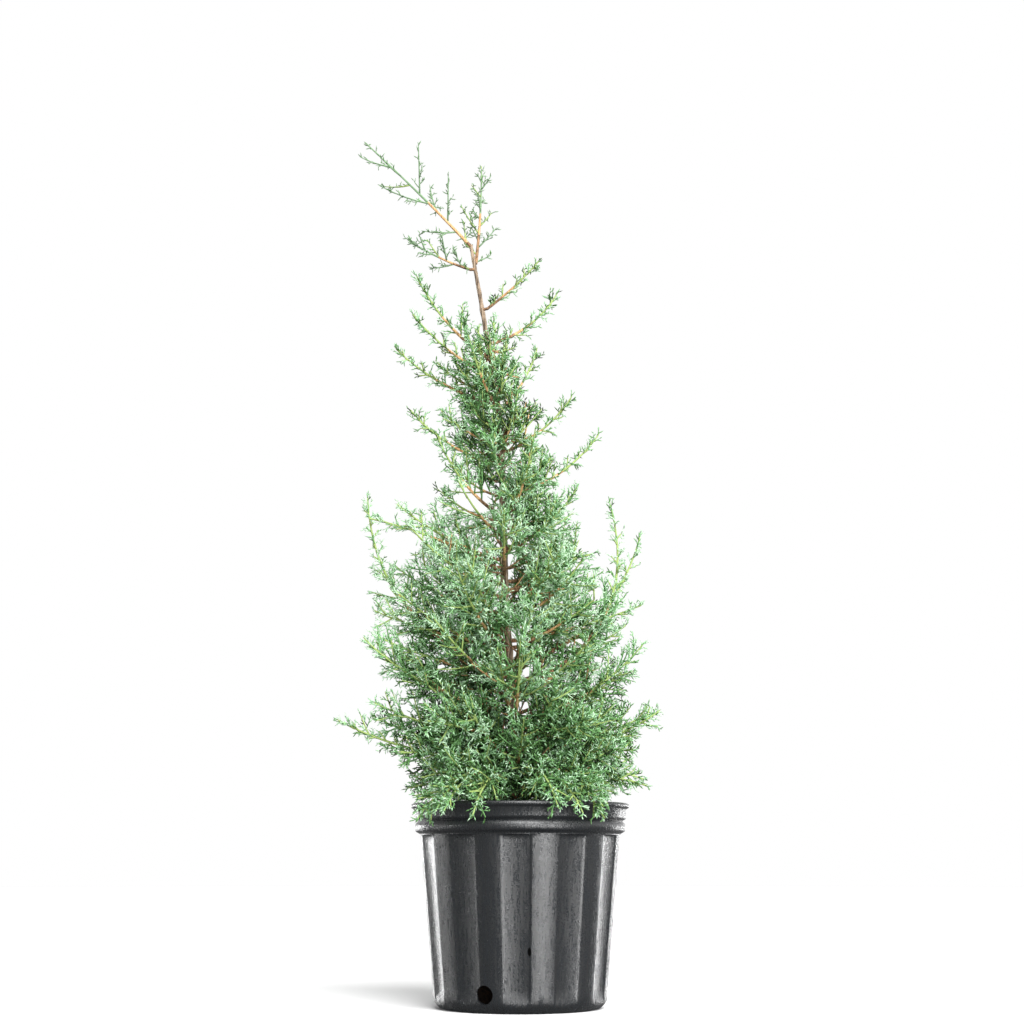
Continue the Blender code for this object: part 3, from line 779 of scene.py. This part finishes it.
def makeLimbs():
    start, rings = trunkFoot - trunk["sink"], trunk["rings"]
    heights = [start + (trunkTop - start) * (i / rings) ** trunk["crowding"] for i in range(rings + 1)]
    shape = bmesh.new()
    line = [trunkLine(height) for height in heights]
    radii = [trunkRadius(max(trunkFoot, height)) for height in heights]
    addBarkedLimb(shape, line, radii, trunk["sides"], skin["trunkDepth"])
    trunkFaces = len(shape.faces)
    steps = wood["rings"]
    for points, thick, _, begin in plan.values():
        if not begin:
            continue
        last = 1 + round(begin * wood["steps"])
        line = [points[0]]
        for near, far in zip(points[:last], points[1 : last + 1]):
            line += [near.lerp(far, k / steps) for k in range(1, steps + 1)]
        radii = [limbRadius(thick, begin * i / len(line)) for i in range(len(line))]
        addBarkedLimb(shape, line, radii, wood["sides"], skin["boughDepth"])
    shape.faces.ensure_lookup_table()
    for face in shape.faces[trunkFaces:]:
        face.material_index = 1
    mesh = meshFrom("limbs", shape)
    mesh.shade_smooth()
    nodes = [name for name in frame["nodes"] if name == "trunk" or name.startswith("bough_")]
    newPiece("barkedLimbs", mesh, ["trunkBark", "boughBark"], nodes)


makeLimbs()
print("trunk and boughs ready")


# The foliage.  Sprays leave a stem by the golden angle, twigs leave a spray on alternate sides,
# and branchlets leave a twig in the same way.

spray = {
    "spacing": 0.0096,
    "first": 0.05,
    "run": 0.90,
    "angle": 47,
    "angles": (0.8, 1.2),  # shares of it
    "turn": 30,
    "reaches": (0.75, 1.30),
    "edges": (0.90, 1.15),  # of the crown's width there, past which a spray is shortened
    "swell": (0.62, 1.5),  # a spray's share of its length at a stem's foot, and what it gains from there
    "fade": (0.70, 1.6),  # what it loses towards the tip, and how late
    "ahead": 0.25,  # how far before a bough's end they begin, as a share of the line
    "wander": 0.08,
    "radius": 0.0011,
    "lastLength": 0.030,  # the spray at a stem's tip, and how far behind the tip it begins
    "lastRoot": 0.026,
}
twig = {
    "spacing": 0.0050,
    "first": 0.08,
    "last": 0.97,
    "shifts": (0.2, 0.8),
    "angle": 46,
    "angles": (0.6, 1.4),
    "curve": 0.22,  # how far it bends towards its spray's tip
    "longest": 0.036,
    "shortest": 0.008,
    "lengths": (0.5, 1.25),
    "roll": 1.1,  # in radians
    "lift": 0.10,
    "radius": 0.00090,
    "left": (0.52, 0.005),  # it has about this share of what is left of its spray, and this much more
    "foot": (0.55, 2.2),  # but only this share of that near the spray's foot, and gains so much from there
    "kept": 0.45,  # a spray that has room for no more than this share of its twigs is left out
}
branchlet = {
    "spacing": 0.0032,
    "first": 0.16,
    "last": 0.96,
    "shifts": (0.25, 0.75),
    "angle": 51,
    "angles": (0.6, 1.4),
    "curve": 0.22,
    "longest": 0.0104,
    "shortest": 0.0038,
    "lengths": (0.55, 1.10),
    "taper": 0.55,  # how much shorter they are at a twig's tip
    "roll": 0.9,
    "lift": 0.0,
    "radius": 0.00092,
    "radii": (0.80, 1.15),
}
room = {"spray": 0.005, "twig": 0.003, "branchlet": 0.0012, "outside": 0.008}
# how far apart sprays and twigs are and how long twigs are, as shares of the rule's, a spray's lift, and
# whether it keeps within the crown; one that doesn't is greyer
fullHabit = {"sprays": 1.0, "twigs": 1.0, "length": 1.0, "lift": 0.14, "bounded": True}
habits = {
    # by the first word of a mass's name
    "skirt": {"sprays": 0.6, "lift": 0.10},
    "hem": {"sprays": 0.6, "lift": -0.12},
    "top": {"sprays": 1.4, "length": 0.70, "bounded": False},
    "leader": {"sprays": 2.3, "twigs": 1.5, "length": 0.42, "lift": 0.18, "bounded": False},
}
crownGreens = ("limeGreen", "limeGreen", "seaGreen")  # dealt out to the sprays' stems
looseGreens = ("sageGreen", "sageGreen", "limeGreen")


def habitOf(name):
    return fullHabit | habits.get(name.split("_")[0], {})


def makeForm(sides, rings):
    # a small pointed shape that is copied many times, one metre long and about one metre in radius
    shape = bmesh.new()
    place, radius = rings[0]
    bmesh.ops.create_circle(shape, segments=sides, radius=radius, cap_ends=True)
    edges = shape.edges[:]
    for nextPlace, nextRadius in rings[1:]:
        made = bmesh.ops.extrude_edge_only(shape, edges=edges)["geom"]
        verts = [part for part in made if isinstance(part, bmesh.types.BMVert)]
        edges = [part for part in made if isinstance(part, bmesh.types.BMEdge)]
        edges = [edge for edge in edges if all(vert in verts for vert in edge.verts)]
        ratio = nextRadius / radius
        bmesh.ops.scale(shape, verts=verts, vec=(ratio, ratio, 1))
        bmesh.ops.translate(shape, verts=verts, vec=(0, 0, nextPlace - place))
        place, radius = nextPlace, nextRadius
    made = bmesh.ops.extrude_edge_only(shape, edges=edges)["geom"]
    tip = [part for part in made if isinstance(part, bmesh.types.BMVert)]
    bmesh.ops.pointmerge(shape, verts=tip, merge_co=(0, 0, 1))
    bmesh.ops.recalc_face_normals(shape, faces=shape.faces)
    bmesh.ops.triangulate(shape, faces=shape.faces)
    shape.verts.index_update()
    coords = np.array([vert.co for vert in shape.verts])
    faces = np.array([[vert.index for vert in face.verts] for face in shape.faces])
    shape.free()
    return coords, faces


def unit(rows):
    return rows / np.maximum(np.linalg.norm(rows, axis=1, keepdims=True), 1e-9)


def turned(rows, axes, angles):
    # rows turned about axes, all square to them
    return rows * np.cos(angles)[:, None] + np.cross(axes, rows) * np.sin(angles)[:, None]


class Growth:
    # a batch of like shoots: root, run to the tip, bend, side, radius and tone of each

    def __init__(self, *parts):
        self.root, self.run, self.bend, self.side, self.radius, self.tone = parts

    def keep(self, mask):
        return Growth(*(part[mask] for part in vars(self).values()))

    def at(self, share):
        # share is one number, or one for each shoot
        share = np.reshape(share, (-1, 1))
        return self.root + self.run * share + self.bend * share**2

    def children(self, rule, lengths, shares, parents, rng, tone):
        # shoots at these shares along their parents, on alternate sides
        count = len(parents)
        parent = self.keep(parents)
        along = unit(parent.run + 2 * parent.bend * shares[:, None])
        flip = np.where(np.arange(count) % 2, 0.0, pi)
        square = unit(np.cross(np.cross(along, parent.side), along))
        side = turned(square, along, flip + rng.normal(0, rule["roll"], count))
        angle = radians(rule["angle"]) * rng.uniform(*rule["angles"], count)
        run = (along * np.cos(angle)[:, None] + side * np.sin(angle)[:, None]) * lengths[:, None]
        bend = along * (lengths * rule["curve"])[:, None]
        bend[:, 2] += lengths * rule["lift"]
        flat = unit(np.cross(np.cross(along, side), run))
        return Growth(parent.at(shares), run, bend, flat, np.full(count, rule["radius"]), tone)


def clearOfPot(points, clearance):
    across = np.hypot(points[:, 0], points[:, 1])
    high = points[:, 2] > pot["height"] + clearance
    outside = across > pot["rimRadius"] + clearance
    inside = (points[:, 2] > soil["top"] + clearance) & (across < innerRadius(pot["bodyTop"]) - clearance)
    return high | outside | inside


def trunkTable(steps=400):
    heights = [trunkFoot + (trunkTop - trunkFoot) * i / steps for i in range(steps + 1)]
    centres = np.array([trunkLine(height) for height in heights])
    return np.array(heights), centres, np.array([trunkRadius(height) for height in heights])


trunkHeights, trunkCentres, trunkRadii = trunkTable()


def nearTrunk(points):
    # the trunk's centre and radius at each point's height
    index = np.clip(np.searchsorted(trunkHeights, points[:, 2]), 0, len(trunkHeights) - 1)
    return trunkCentres[index], trunkRadii[index]


def clearOfTrunk(points, clearance):
    centre, radius = nearTrunk(points)
    return np.linalg.norm(points - centre, axis=1) > radius + clearance


sightEye = np.array((-0.0113, -2.5, 0.19))
openings = (
    # where this eye sees through the crown: place across and height at the trunk, half width, half height
    (-0.018, 0.630, 0.009, 0.033),
    (-0.012, 0.498, 0.011, 0.022),
    (-0.068, 0.709, 0.026, 0.021),
    (-0.165, 0.645, 0.020, 0.020),
    (0.098, 0.650, 0.016, 0.018),
    (0.016, 0.818, 0.008, 0.010),
    (0.110, 0.572, 0.010, 0.007),
    (0.010, 0.462, 0.006, 0.009),
    (0.004, 0.410, 0.008, 0.013),
    (-0.108, 0.468, 0.008, 0.006),
    (0.083, 0.505, 0.008, 0.006),
)


raggedness = {"waves": (690, 310, 870, 160), "least": 0.75, "depth": 0.6}  # of the openings' edges


def clearOfOpenings(points):
    # each point is carried along its line of sight to the trunk's depth
    seen = sightEye + (points - sightEye) * (-sightEye[1] / (points[:, 1:2] - sightEye[1]))
    waves = raggedness["waves"]
    ragged = np.sin(seen[:, 0] * waves[0] + seen[:, 2] * waves[1])
    ragged *= np.cos(seen[:, 2] * waves[2] - points[:, 1] * waves[3])
    edge = raggedness["least"] + raggedness["depth"] * ragged
    clear = np.ones(len(points), bool)
    for across, height, width, tall in openings:
        clear &= ((seen[:, 0] - across) / width) ** 2 + ((seen[:, 2] - height) / tall) ** 2 > edge
    return clear


def fits(growth, clearance):
    mask = np.ones(len(growth.root), bool)
    low, high = (np.array(corner) for corner in cadBox)
    for share in (0.5, 1.0):
        points = growth.at(share)
        mask &= clearOfPot(points, clearance) & clearOfTrunk(points, clearance / 2) & clearOfOpenings(points)
        mask &= ((points > low - room["outside"]) & (points < high + room["outside"])).all(1)
    return mask


def pointOn(points, share):
    place = share * (len(points) - 1)
    index = min(int(place), len(points) - 2)
    start, end = points[index], points[index + 1]
    return start.lerp(end, place - index), (end - start).normalized()


def plumeShape(share):
    # how long sprays are along a stem: they lengthen from its foot, then shorten to the tip
    (foot, gain), (loss, lateness) = spray["swell"], spray["fade"]
    return min(1.0, foot + gain * share) * (1.0 - loss * share**lateness)


def lineLength(points):
    return sum((end - start).length for start, end in zip(points, points[1:]))


def growSprays(points, spreadOf, begin, rng, habit):
    # root, run, bend, side, length and place of each spray, shorter where it would leave the crown
    length = lineLength(points) * (1 - begin)
    count = max(5, round(length / spray["spacing"] / habit["sprays"]))
    rows = []
    for i in range(count):
        place = begin + (1 - begin) * (spray["first"] + spray["run"] * i / count)
        root, forward = pointOn(points, place)
        across = forward.orthogonal().normalized()
        turn = radians(i * goldenAngle + rng.uniform(-spray["turn"], spray["turn"]))
        out = across * cos(turn) + forward.cross(across) * sin(turn)
        angle = radians(spray["angle"]) * rng.uniform(*spray["angles"])
        heading = forward * cos(angle) + out * sin(angle)
        reach = spreadOf * plumeShape(i / count) * rng.uniform(*spray["reaches"])
        tip = root + heading * reach
        away = tip - trunkLine(min(tip.z, trunkTop))
        edge = crownWidth(tip.z, away.normalized().x) * rng.uniform(*spray["edges"])
        if habit["bounded"] and away.length > edge:
            reach *= crown["airy"]
        wander = out.cross(forward) * rng.uniform(-1, 1) * reach * spray["wander"]
        bend = Vector((0, 0, reach * habit["lift"])) + wander
        rows.append((root, heading * reach, bend, forward.cross(out), reach, place))
    tip, forward = pointOn(points, 1.0)
    root, reach = tip - forward * spray["lastRoot"], spray["lastLength"]
    side = forward.orthogonal().normalized()
    rows.append((root, forward * reach, Vector((0, 0, 0.001)), side, reach, 1.0))
    return rows


tones = {
    # how pale a spray is, from 0, deepGreen, to 4, paleSilver: by height, painted shade low and high in the
    # crown and painted light in its middle, and more towards the crown's edge, painted light there against
    # painted shade inside
    "heights": (0.300, 0.420, 0.540, 0.620, 0.690, 0.750, 1.000),
    "paintedLightAndShadeByHeight": (0.75, 1.05, 1.95, 2.25, 1.60, 0.90, 0.75),
    "paintedLightAtEdge": 1.75,
    "edgeCurve": 1.3,
    "chance": 0.85,  # how much sprays and their twigs differ by chance
    "steadyFrom": 0.6,  # and how much less past this share of the crown's width
    "steadyOver": 0.3,
    "steadyCut": 0.5,
    "leafChance": 0.6,
    "leafTip": 2.4,  # how much paler the leaves at a twig's tip are than those at its foot
    "woodChance": 0.16,
    "youngWood": 0.30,  # as far out as this share of the crown's width, the stems of sprays are tan
    "oldWood": 0.18,  # and as far as this brown
}
leafyEnds = {}  # for each mass, the share along its stem of its last spray with leaves


def toneSteps(values):
    return np.clip(np.round(values), 0, 4).astype(int)


def dealShares(rule, counts, dice):
    # for rows of these many children each: the parent of every child, and its share along the parent
    parents = np.repeat(np.arange(len(counts)), counts)
    number = np.arange(len(parents)) - np.repeat(np.cumsum(counts) - counts, counts)
    place = number + dice.uniform(*rule["shifts"], len(parents))
    return parents, rule["first"] + (rule["last"] - rule["first"]) * place / counts[parents]


def growTwigs(sprays, lengths, steady, habit, dice):
    counts = np.round(lengths * (1 - twig["first"]) / twig["spacing"] / habit["twigs"])
    counts = np.maximum(3, counts).astype(int)
    parents, shares = dealShares(twig, counts, dice)
    (share, more), (foot, gain) = twig["left"], twig["foot"]
    long = lengths[parents] * (1 - shares) * share + more
    long = np.clip(long, twig["shortest"], twig["longest"]) * dice.uniform(*twig["lengths"], len(parents))
    long *= np.clip(foot + shares * gain, 0, 1) * habit["length"]
    pale = sprays.tone[parents] + dice.normal(0, tones["chance"], len(parents)) * steady[parents]
    twigs = sprays.children(twig, long, shares, parents, dice, toneSteps(pale))
    ok = fits(twigs, room["twig"])
    leafy = np.bincount(parents[ok], minlength=len(counts)) > counts * twig["kept"]
    return twigs.keep(ok), long[ok], leafy


def growLeaves(twigs, lengths, dice):
    counts = np.maximum(2, np.round(lengths * (1 - branchlet["first"]) / branchlet["spacing"])).astype(int)
    parents, shares = dealShares(branchlet, counts, dice)
    small = branchlet["longest"] * (1 - branchlet["taper"] * shares)
    small *= dice.uniform(*branchlet["lengths"], len(parents))
    small = np.clip(small, branchlet["shortest"], branchlet["longest"])
    pale = twigs.tone[parents] + (shares - 0.5) * tones["leafTip"]
    pale += dice.normal(0, tones["leafChance"], len(parents))
    leaves = twigs.children(branchlet, small, shares, parents, dice, toneSteps(pale))
    leaves.radius = branchlet["radius"] * dice.uniform(*branchlet["radii"], len(parents))
    return leaves.keep(fits(leaves, room["branchlet"]))


def growMass(name, seed):
    points, _, spreadOf, begin = plan[name]
    rng, dice = random.Random(seed), np.random.default_rng(seed + 100)
    habit = habitOf(name)
    rows = growSprays(points, spreadOf, max(0.0, begin - spray["ahead"]), rng, habit)
    root, run, bend, side, lengths, places = (np.array(column) for column in zip(*rows))
    radius, tone = np.full(len(rows), spray["radius"]), np.zeros(len(rows), int)
    sprays = Growth(root, run, bend, unit(side), radius, tone)
    ok = fits(sprays, room["spray"])
    sprays, lengths, places = sprays.keep(ok), lengths[ok], places[ok]
    count = len(lengths)

    middle = sprays.at(0.6)
    away = np.linalg.norm((middle - nearTrunk(middle)[0])[:, :2], axis=1)
    outer = np.clip(away / np.array([crownWidth(place[2], 0.0) for place in middle]), 0, 1)
    steady = 1 - tones["steadyCut"] * np.clip((outer - tones["steadyFrom"]) / tones["steadyOver"], 0, 1)
    # painted light and shade: darker by height where the crown is shaded, paler towards its edge where it is
    # lit; the chance added below is the foliage's own varying tone
    pale = np.interp(middle[:, 2], tones["heights"], tones["paintedLightAndShadeByHeight"])
    pale += outer ** tones["edgeCurve"] * tones["paintedLightAtEdge"]
    pale += dice.normal(0, tones["chance"], count) * steady
    sprays.tone = toneSteps(pale)
    woody = outer + dice.normal(0, tones["woodChance"], count)

    twigs, twigLengths, leafy = growTwigs(sprays, lengths, steady, habit, dice)
    leafyEnds[name] = places[leafy].max(initial=0.0)
    leaves = growLeaves(twigs, twigLengths, dice)
    greens = crownGreens if habit["bounded"] else looseGreens
    greens = np.array([twigLooks.index(green) for green in greens])
    sprays.tone = greens[dice.integers(0, len(greens), count)]
    if habit["bounded"]:
        sprays.tone[woody < tones["youngWood"]] = twigLooks.index("youngBark")
        sprays.tone[woody < tones["oldWood"]] = twigLooks.index("boughBark")
    else:
        leaves.tone = np.where(leaves.tone < 2, leaves.tone + 1, greens[0])
        twigs.tone = np.full(len(twigs.root), greens[0])
    return sprays.keep(leafy), twigs, leaves


def copyForm(form, growth):
    # verts, faces and tones of a copy of the form for each shoot
    coords, faces = form
    along = unit(growth.run)
    side = unit(growth.side - along * (growth.side * along).sum(1, keepdims=True))
    up = np.cross(along, side)
    place = coords[:, 2]
    verts = (
        growth.root[:, None]
        + growth.run[:, None] * place[:, None]
        + growth.bend[:, None] * place[:, None] ** 2
        + growth.radius[:, None, None] * (side[:, None] * coords[:, :1] + up[:, None] * coords[:, 1:2])
    )
    shift = np.arange(len(growth.root)) * len(coords)
    faces = faces[None] + shift[:, None, None]
    return verts.reshape(-1, 3), faces.reshape(-1, 3), np.repeat(growth.tone, len(form[1]))


def arrayMesh(name, batches):
    # one mesh from batches of verts, faces and tones, which are made by the rules above
    starts = np.cumsum([0] + [len(verts) for verts, _, _ in batches[:-1]])
    batches = [(verts, faces + start, dealt) for (verts, faces, dealt), start in zip(batches, starts)]
    verts, faces, dealt = (np.concatenate(column) for column in zip(*batches))
    mesh = bpy.data.meshes.new(name)
    mesh.vertices.add(len(verts))
    mesh.vertices.foreach_set("co", verts.astype(np.float32).ravel())
    mesh.loops.add(faces.size)
    mesh.loops.foreach_set("vertex_index", faces.astype(np.int32).ravel())
    mesh.polygons.add(len(faces))
    mesh.polygons.foreach_set("loop_start", np.arange(0, faces.size, 3, dtype=np.int32))
    mesh.polygons.foreach_set("material_index", dealt.astype(np.int32))
    mesh.update(calc_edges=True)
    mesh.shade_smooth()
    return mesh


def inGroups(batches, most=190000):
    # names and mesh batches in order, split so that no piece has more triangles than this
    groups, count = [], 0
    for name, parts in batches:
        size = sum(len(part[1]) for part in parts)
        if not groups or count + size > most:
            groups.append(([], []))
            count = 0
        groups[-1][0].append(name)
        groups[-1][1].extend(parts)
        count += size
    return groups


def makeFoliage():
    sprayForm = makeForm(5, ((0.0, 1.25), (0.25, 1.1), (0.5, 0.95), (0.75, 0.8), (0.95, 0.6)))
    twigForm = makeForm(3, ((0.0, 1.0), (0.5, 0.9)))
    leafForm = makeForm(3, ((0.0, 0.90), (0.62, 0.95)))
    leafBatches, twigBatches, total = [], [], 0
    for seed, name in enumerate(plan):
        sprays, twigs, leaves = growMass(name, seed)
        leafBatches.append((name, [copyForm(leafForm, leaves)]))
        twigBatches.append((name, [copyForm(twigForm, twigs), copyForm(sprayForm, sprays)]))
    kinds = (("leafSprays", leafBatches, leafLooks), ("greenTwigs", twigBatches, twigLooks))
    for kind, batches, looks in kinds:
        for number, (names, parts) in enumerate(inGroups(batches), 1):
            mesh = arrayMesh(f"{kind}{number}", parts)
            nodes = [f"foliage_{name}" for name in names if f"foliage_{name}" in frame["nodes"]]
            newPiece(f"{kind}{number}", mesh, looks, nodes if kind == "leafSprays" else ())
            total += len(mesh.polygons)
    print("foliage ready,", total, "triangles")


stem = {
    # shares of a mass's stem: brown bark as far as the first, tan as far as the next, then green
    "brown": 0.30,
    "tan": 0.54,
    "sides": 8,
    "leaderStart": 0.28,  # the leader is the trunk's own young end
    "leaderShare": 0.60,
}


def makeStems():
    # each stem ends with its last spray that has leaves
    looks = ("boughBark", "youngBark", crownGreens[0], looseGreens[0])
    shape = bmesh.new()
    for name, (points, thick, _, begin) in plan.items():
        first = round(begin * wood["steps"])
        last = round(leafyEnds[name] * (len(points) - 1))
        line = points[first : last + 1]
        if len(line) < 3:
            continue
        firstFace = len(shape.faces)
        addTube(shape, line, [limbRadius(thick, (first + i) / last) for i in range(len(line))], stem["sides"])
        shape.faces.ensure_lookup_table()
        length = lineLength(points)
        green = 2 if habitOf(name)["bounded"] else 3
        for face in shape.faces[firstFace:]:
            share = (face.calc_center_median() - points[0]).length / length
            if name == "leader":
                share = stem["leaderStart"] + share * stem["leaderShare"]
            face.material_index = 0 if share < stem["brown"] else 1 if share < stem["tan"] else green
    mesh = meshFrom("stems", shape)
    mesh.shade_smooth()
    newPiece("stems", mesh, looks)


makeFoliage()
makeStems()
print("stems ready")


# Stage, light and camera

stage = {
    "radius": 14.0,
    "floorSeen": (0.97, 0.97, 0.97),  # white to the eye, and it throws little light back up
    "floorShade": (0.16, 0.16, 0.16),
    # strength of the world's light, by direction: from where to where, and the strengths there
    "frontToBack": (-0.75, 0.25, 0.36, 0.76),
    "leftToRight": (-0.80, 0.25, 0.50, 1.0),
    "lowToHigh": (0.05, 0.40, 2.2, 1.0),
}
suns = {
    # bearing from the front towards the right, and rise, in degrees, softness in degrees, power
    "key": (20, 42, 44, 4.5),
    "rim": (12, 9, 24, 0.8),
    "frontRight": (26, -6, 10, 2.4),
    "left": (-100, -6, 4, 0.42),
    "backRight": (140, -6, 12, 2.1),
    "backLeft": (-145, -6, 18, 2.1),
}
sight = {"place": (-0.01134, -2.5, 0.19), "rise": 11.357, "lens": 62.02, "sensor": 36.0}


def makeFloor():
    shape = bmesh.new()
    bmesh.ops.create_circle(shape, cap_ends=True, segments=64, radius=stage["radius"])
    mesh = meshFrom("floor", shape)
    material, tree, shader = newMaterial("paleFloor", {"Roughness": 1.0, "Specular IOR Level": 0.0})
    toEye = addNode(tree, "ShaderNodeLightPath").outputs["Is Camera Ray"]
    feed(tree, shader, {"Base Color": mixColours(tree, toEye, stage["floorShade"], stage["floorSeen"])})
    mesh.materials.append(material)
    floor = addObject("floor", mesh)
    floor.visible_shadow = False  # so that the low suns reach the pot's wall, which leans towards the floor


def makeWorld():
    # white to the eye; as light it is dimmer from the front and from the left, and stronger low down
    world = bpy.data.worlds.new("studio")
    scene.world = world
    world.use_nodes = True
    tree = world.node_tree
    toEye = addNode(tree, "ShaderNodeLightPath").outputs["Is Camera Ray"]
    place = addNode(tree, "ShaderNodeTexCoord").outputs["Generated"]
    parts = addNode(tree, "ShaderNodeSeparateXYZ", {0: place}).outputs
    across = spread(tree, parts[0], *stage["leftToRight"])
    along = spread(tree, parts[1], *stage["frontToBack"])
    up = spread(tree, parts[2], *stage["lowToHigh"])
    level = combine(tree, "MULTIPLY", combine(tree, "MULTIPLY", along, across), up)
    glow, seen = tree.nodes["Background"], addNode(tree, "ShaderNodeBackground")
    feed(tree, glow, {"Color": (1.0, 1.0, 1.0), "Strength": level})
    feed(tree, seen, {"Color": (1.0, 1.0, 1.0), "Strength": 1.0})
    both = addNode(tree, "ShaderNodeMixShader", {0: toEye, 1: glow.outputs[0], 2: seen.outputs[0]})
    feed(tree, tree.nodes["World Output"], {"Surface": both.outputs[0]})


def addSun(name, bearing, rise, softness, power):
    turn, rise = radians(bearing), radians(rise)
    place = Vector((sin(turn) * cos(rise), -cos(turn) * cos(rise), sin(rise))) * 3
    light = bpy.data.lights.new(name, "SUN")
    light.angle = radians(softness)
    light.energy = power
    lamp = addObject(name, light)
    lamp.location = place
    lamp.rotation_euler = (-place).to_track_quat("-Z", "Y").to_euler()


def makeCamera():
    view = bpy.data.cameras.new("camera")
    view.lens = sight["lens"]
    view.sensor_width = sight["sensor"]
    camera = addObject("camera", view)
    camera.location = sight["place"]
    camera.rotation_euler = (radians(90 + sight["rise"]), 0, 0)
    scene.camera = camera


makeFloor()
makeWorld()
for name, setting in suns.items():
    addSun(name, *setting)
makeCamera()
scene.view_settings.view_transform = "Standard"
print("stage ready")
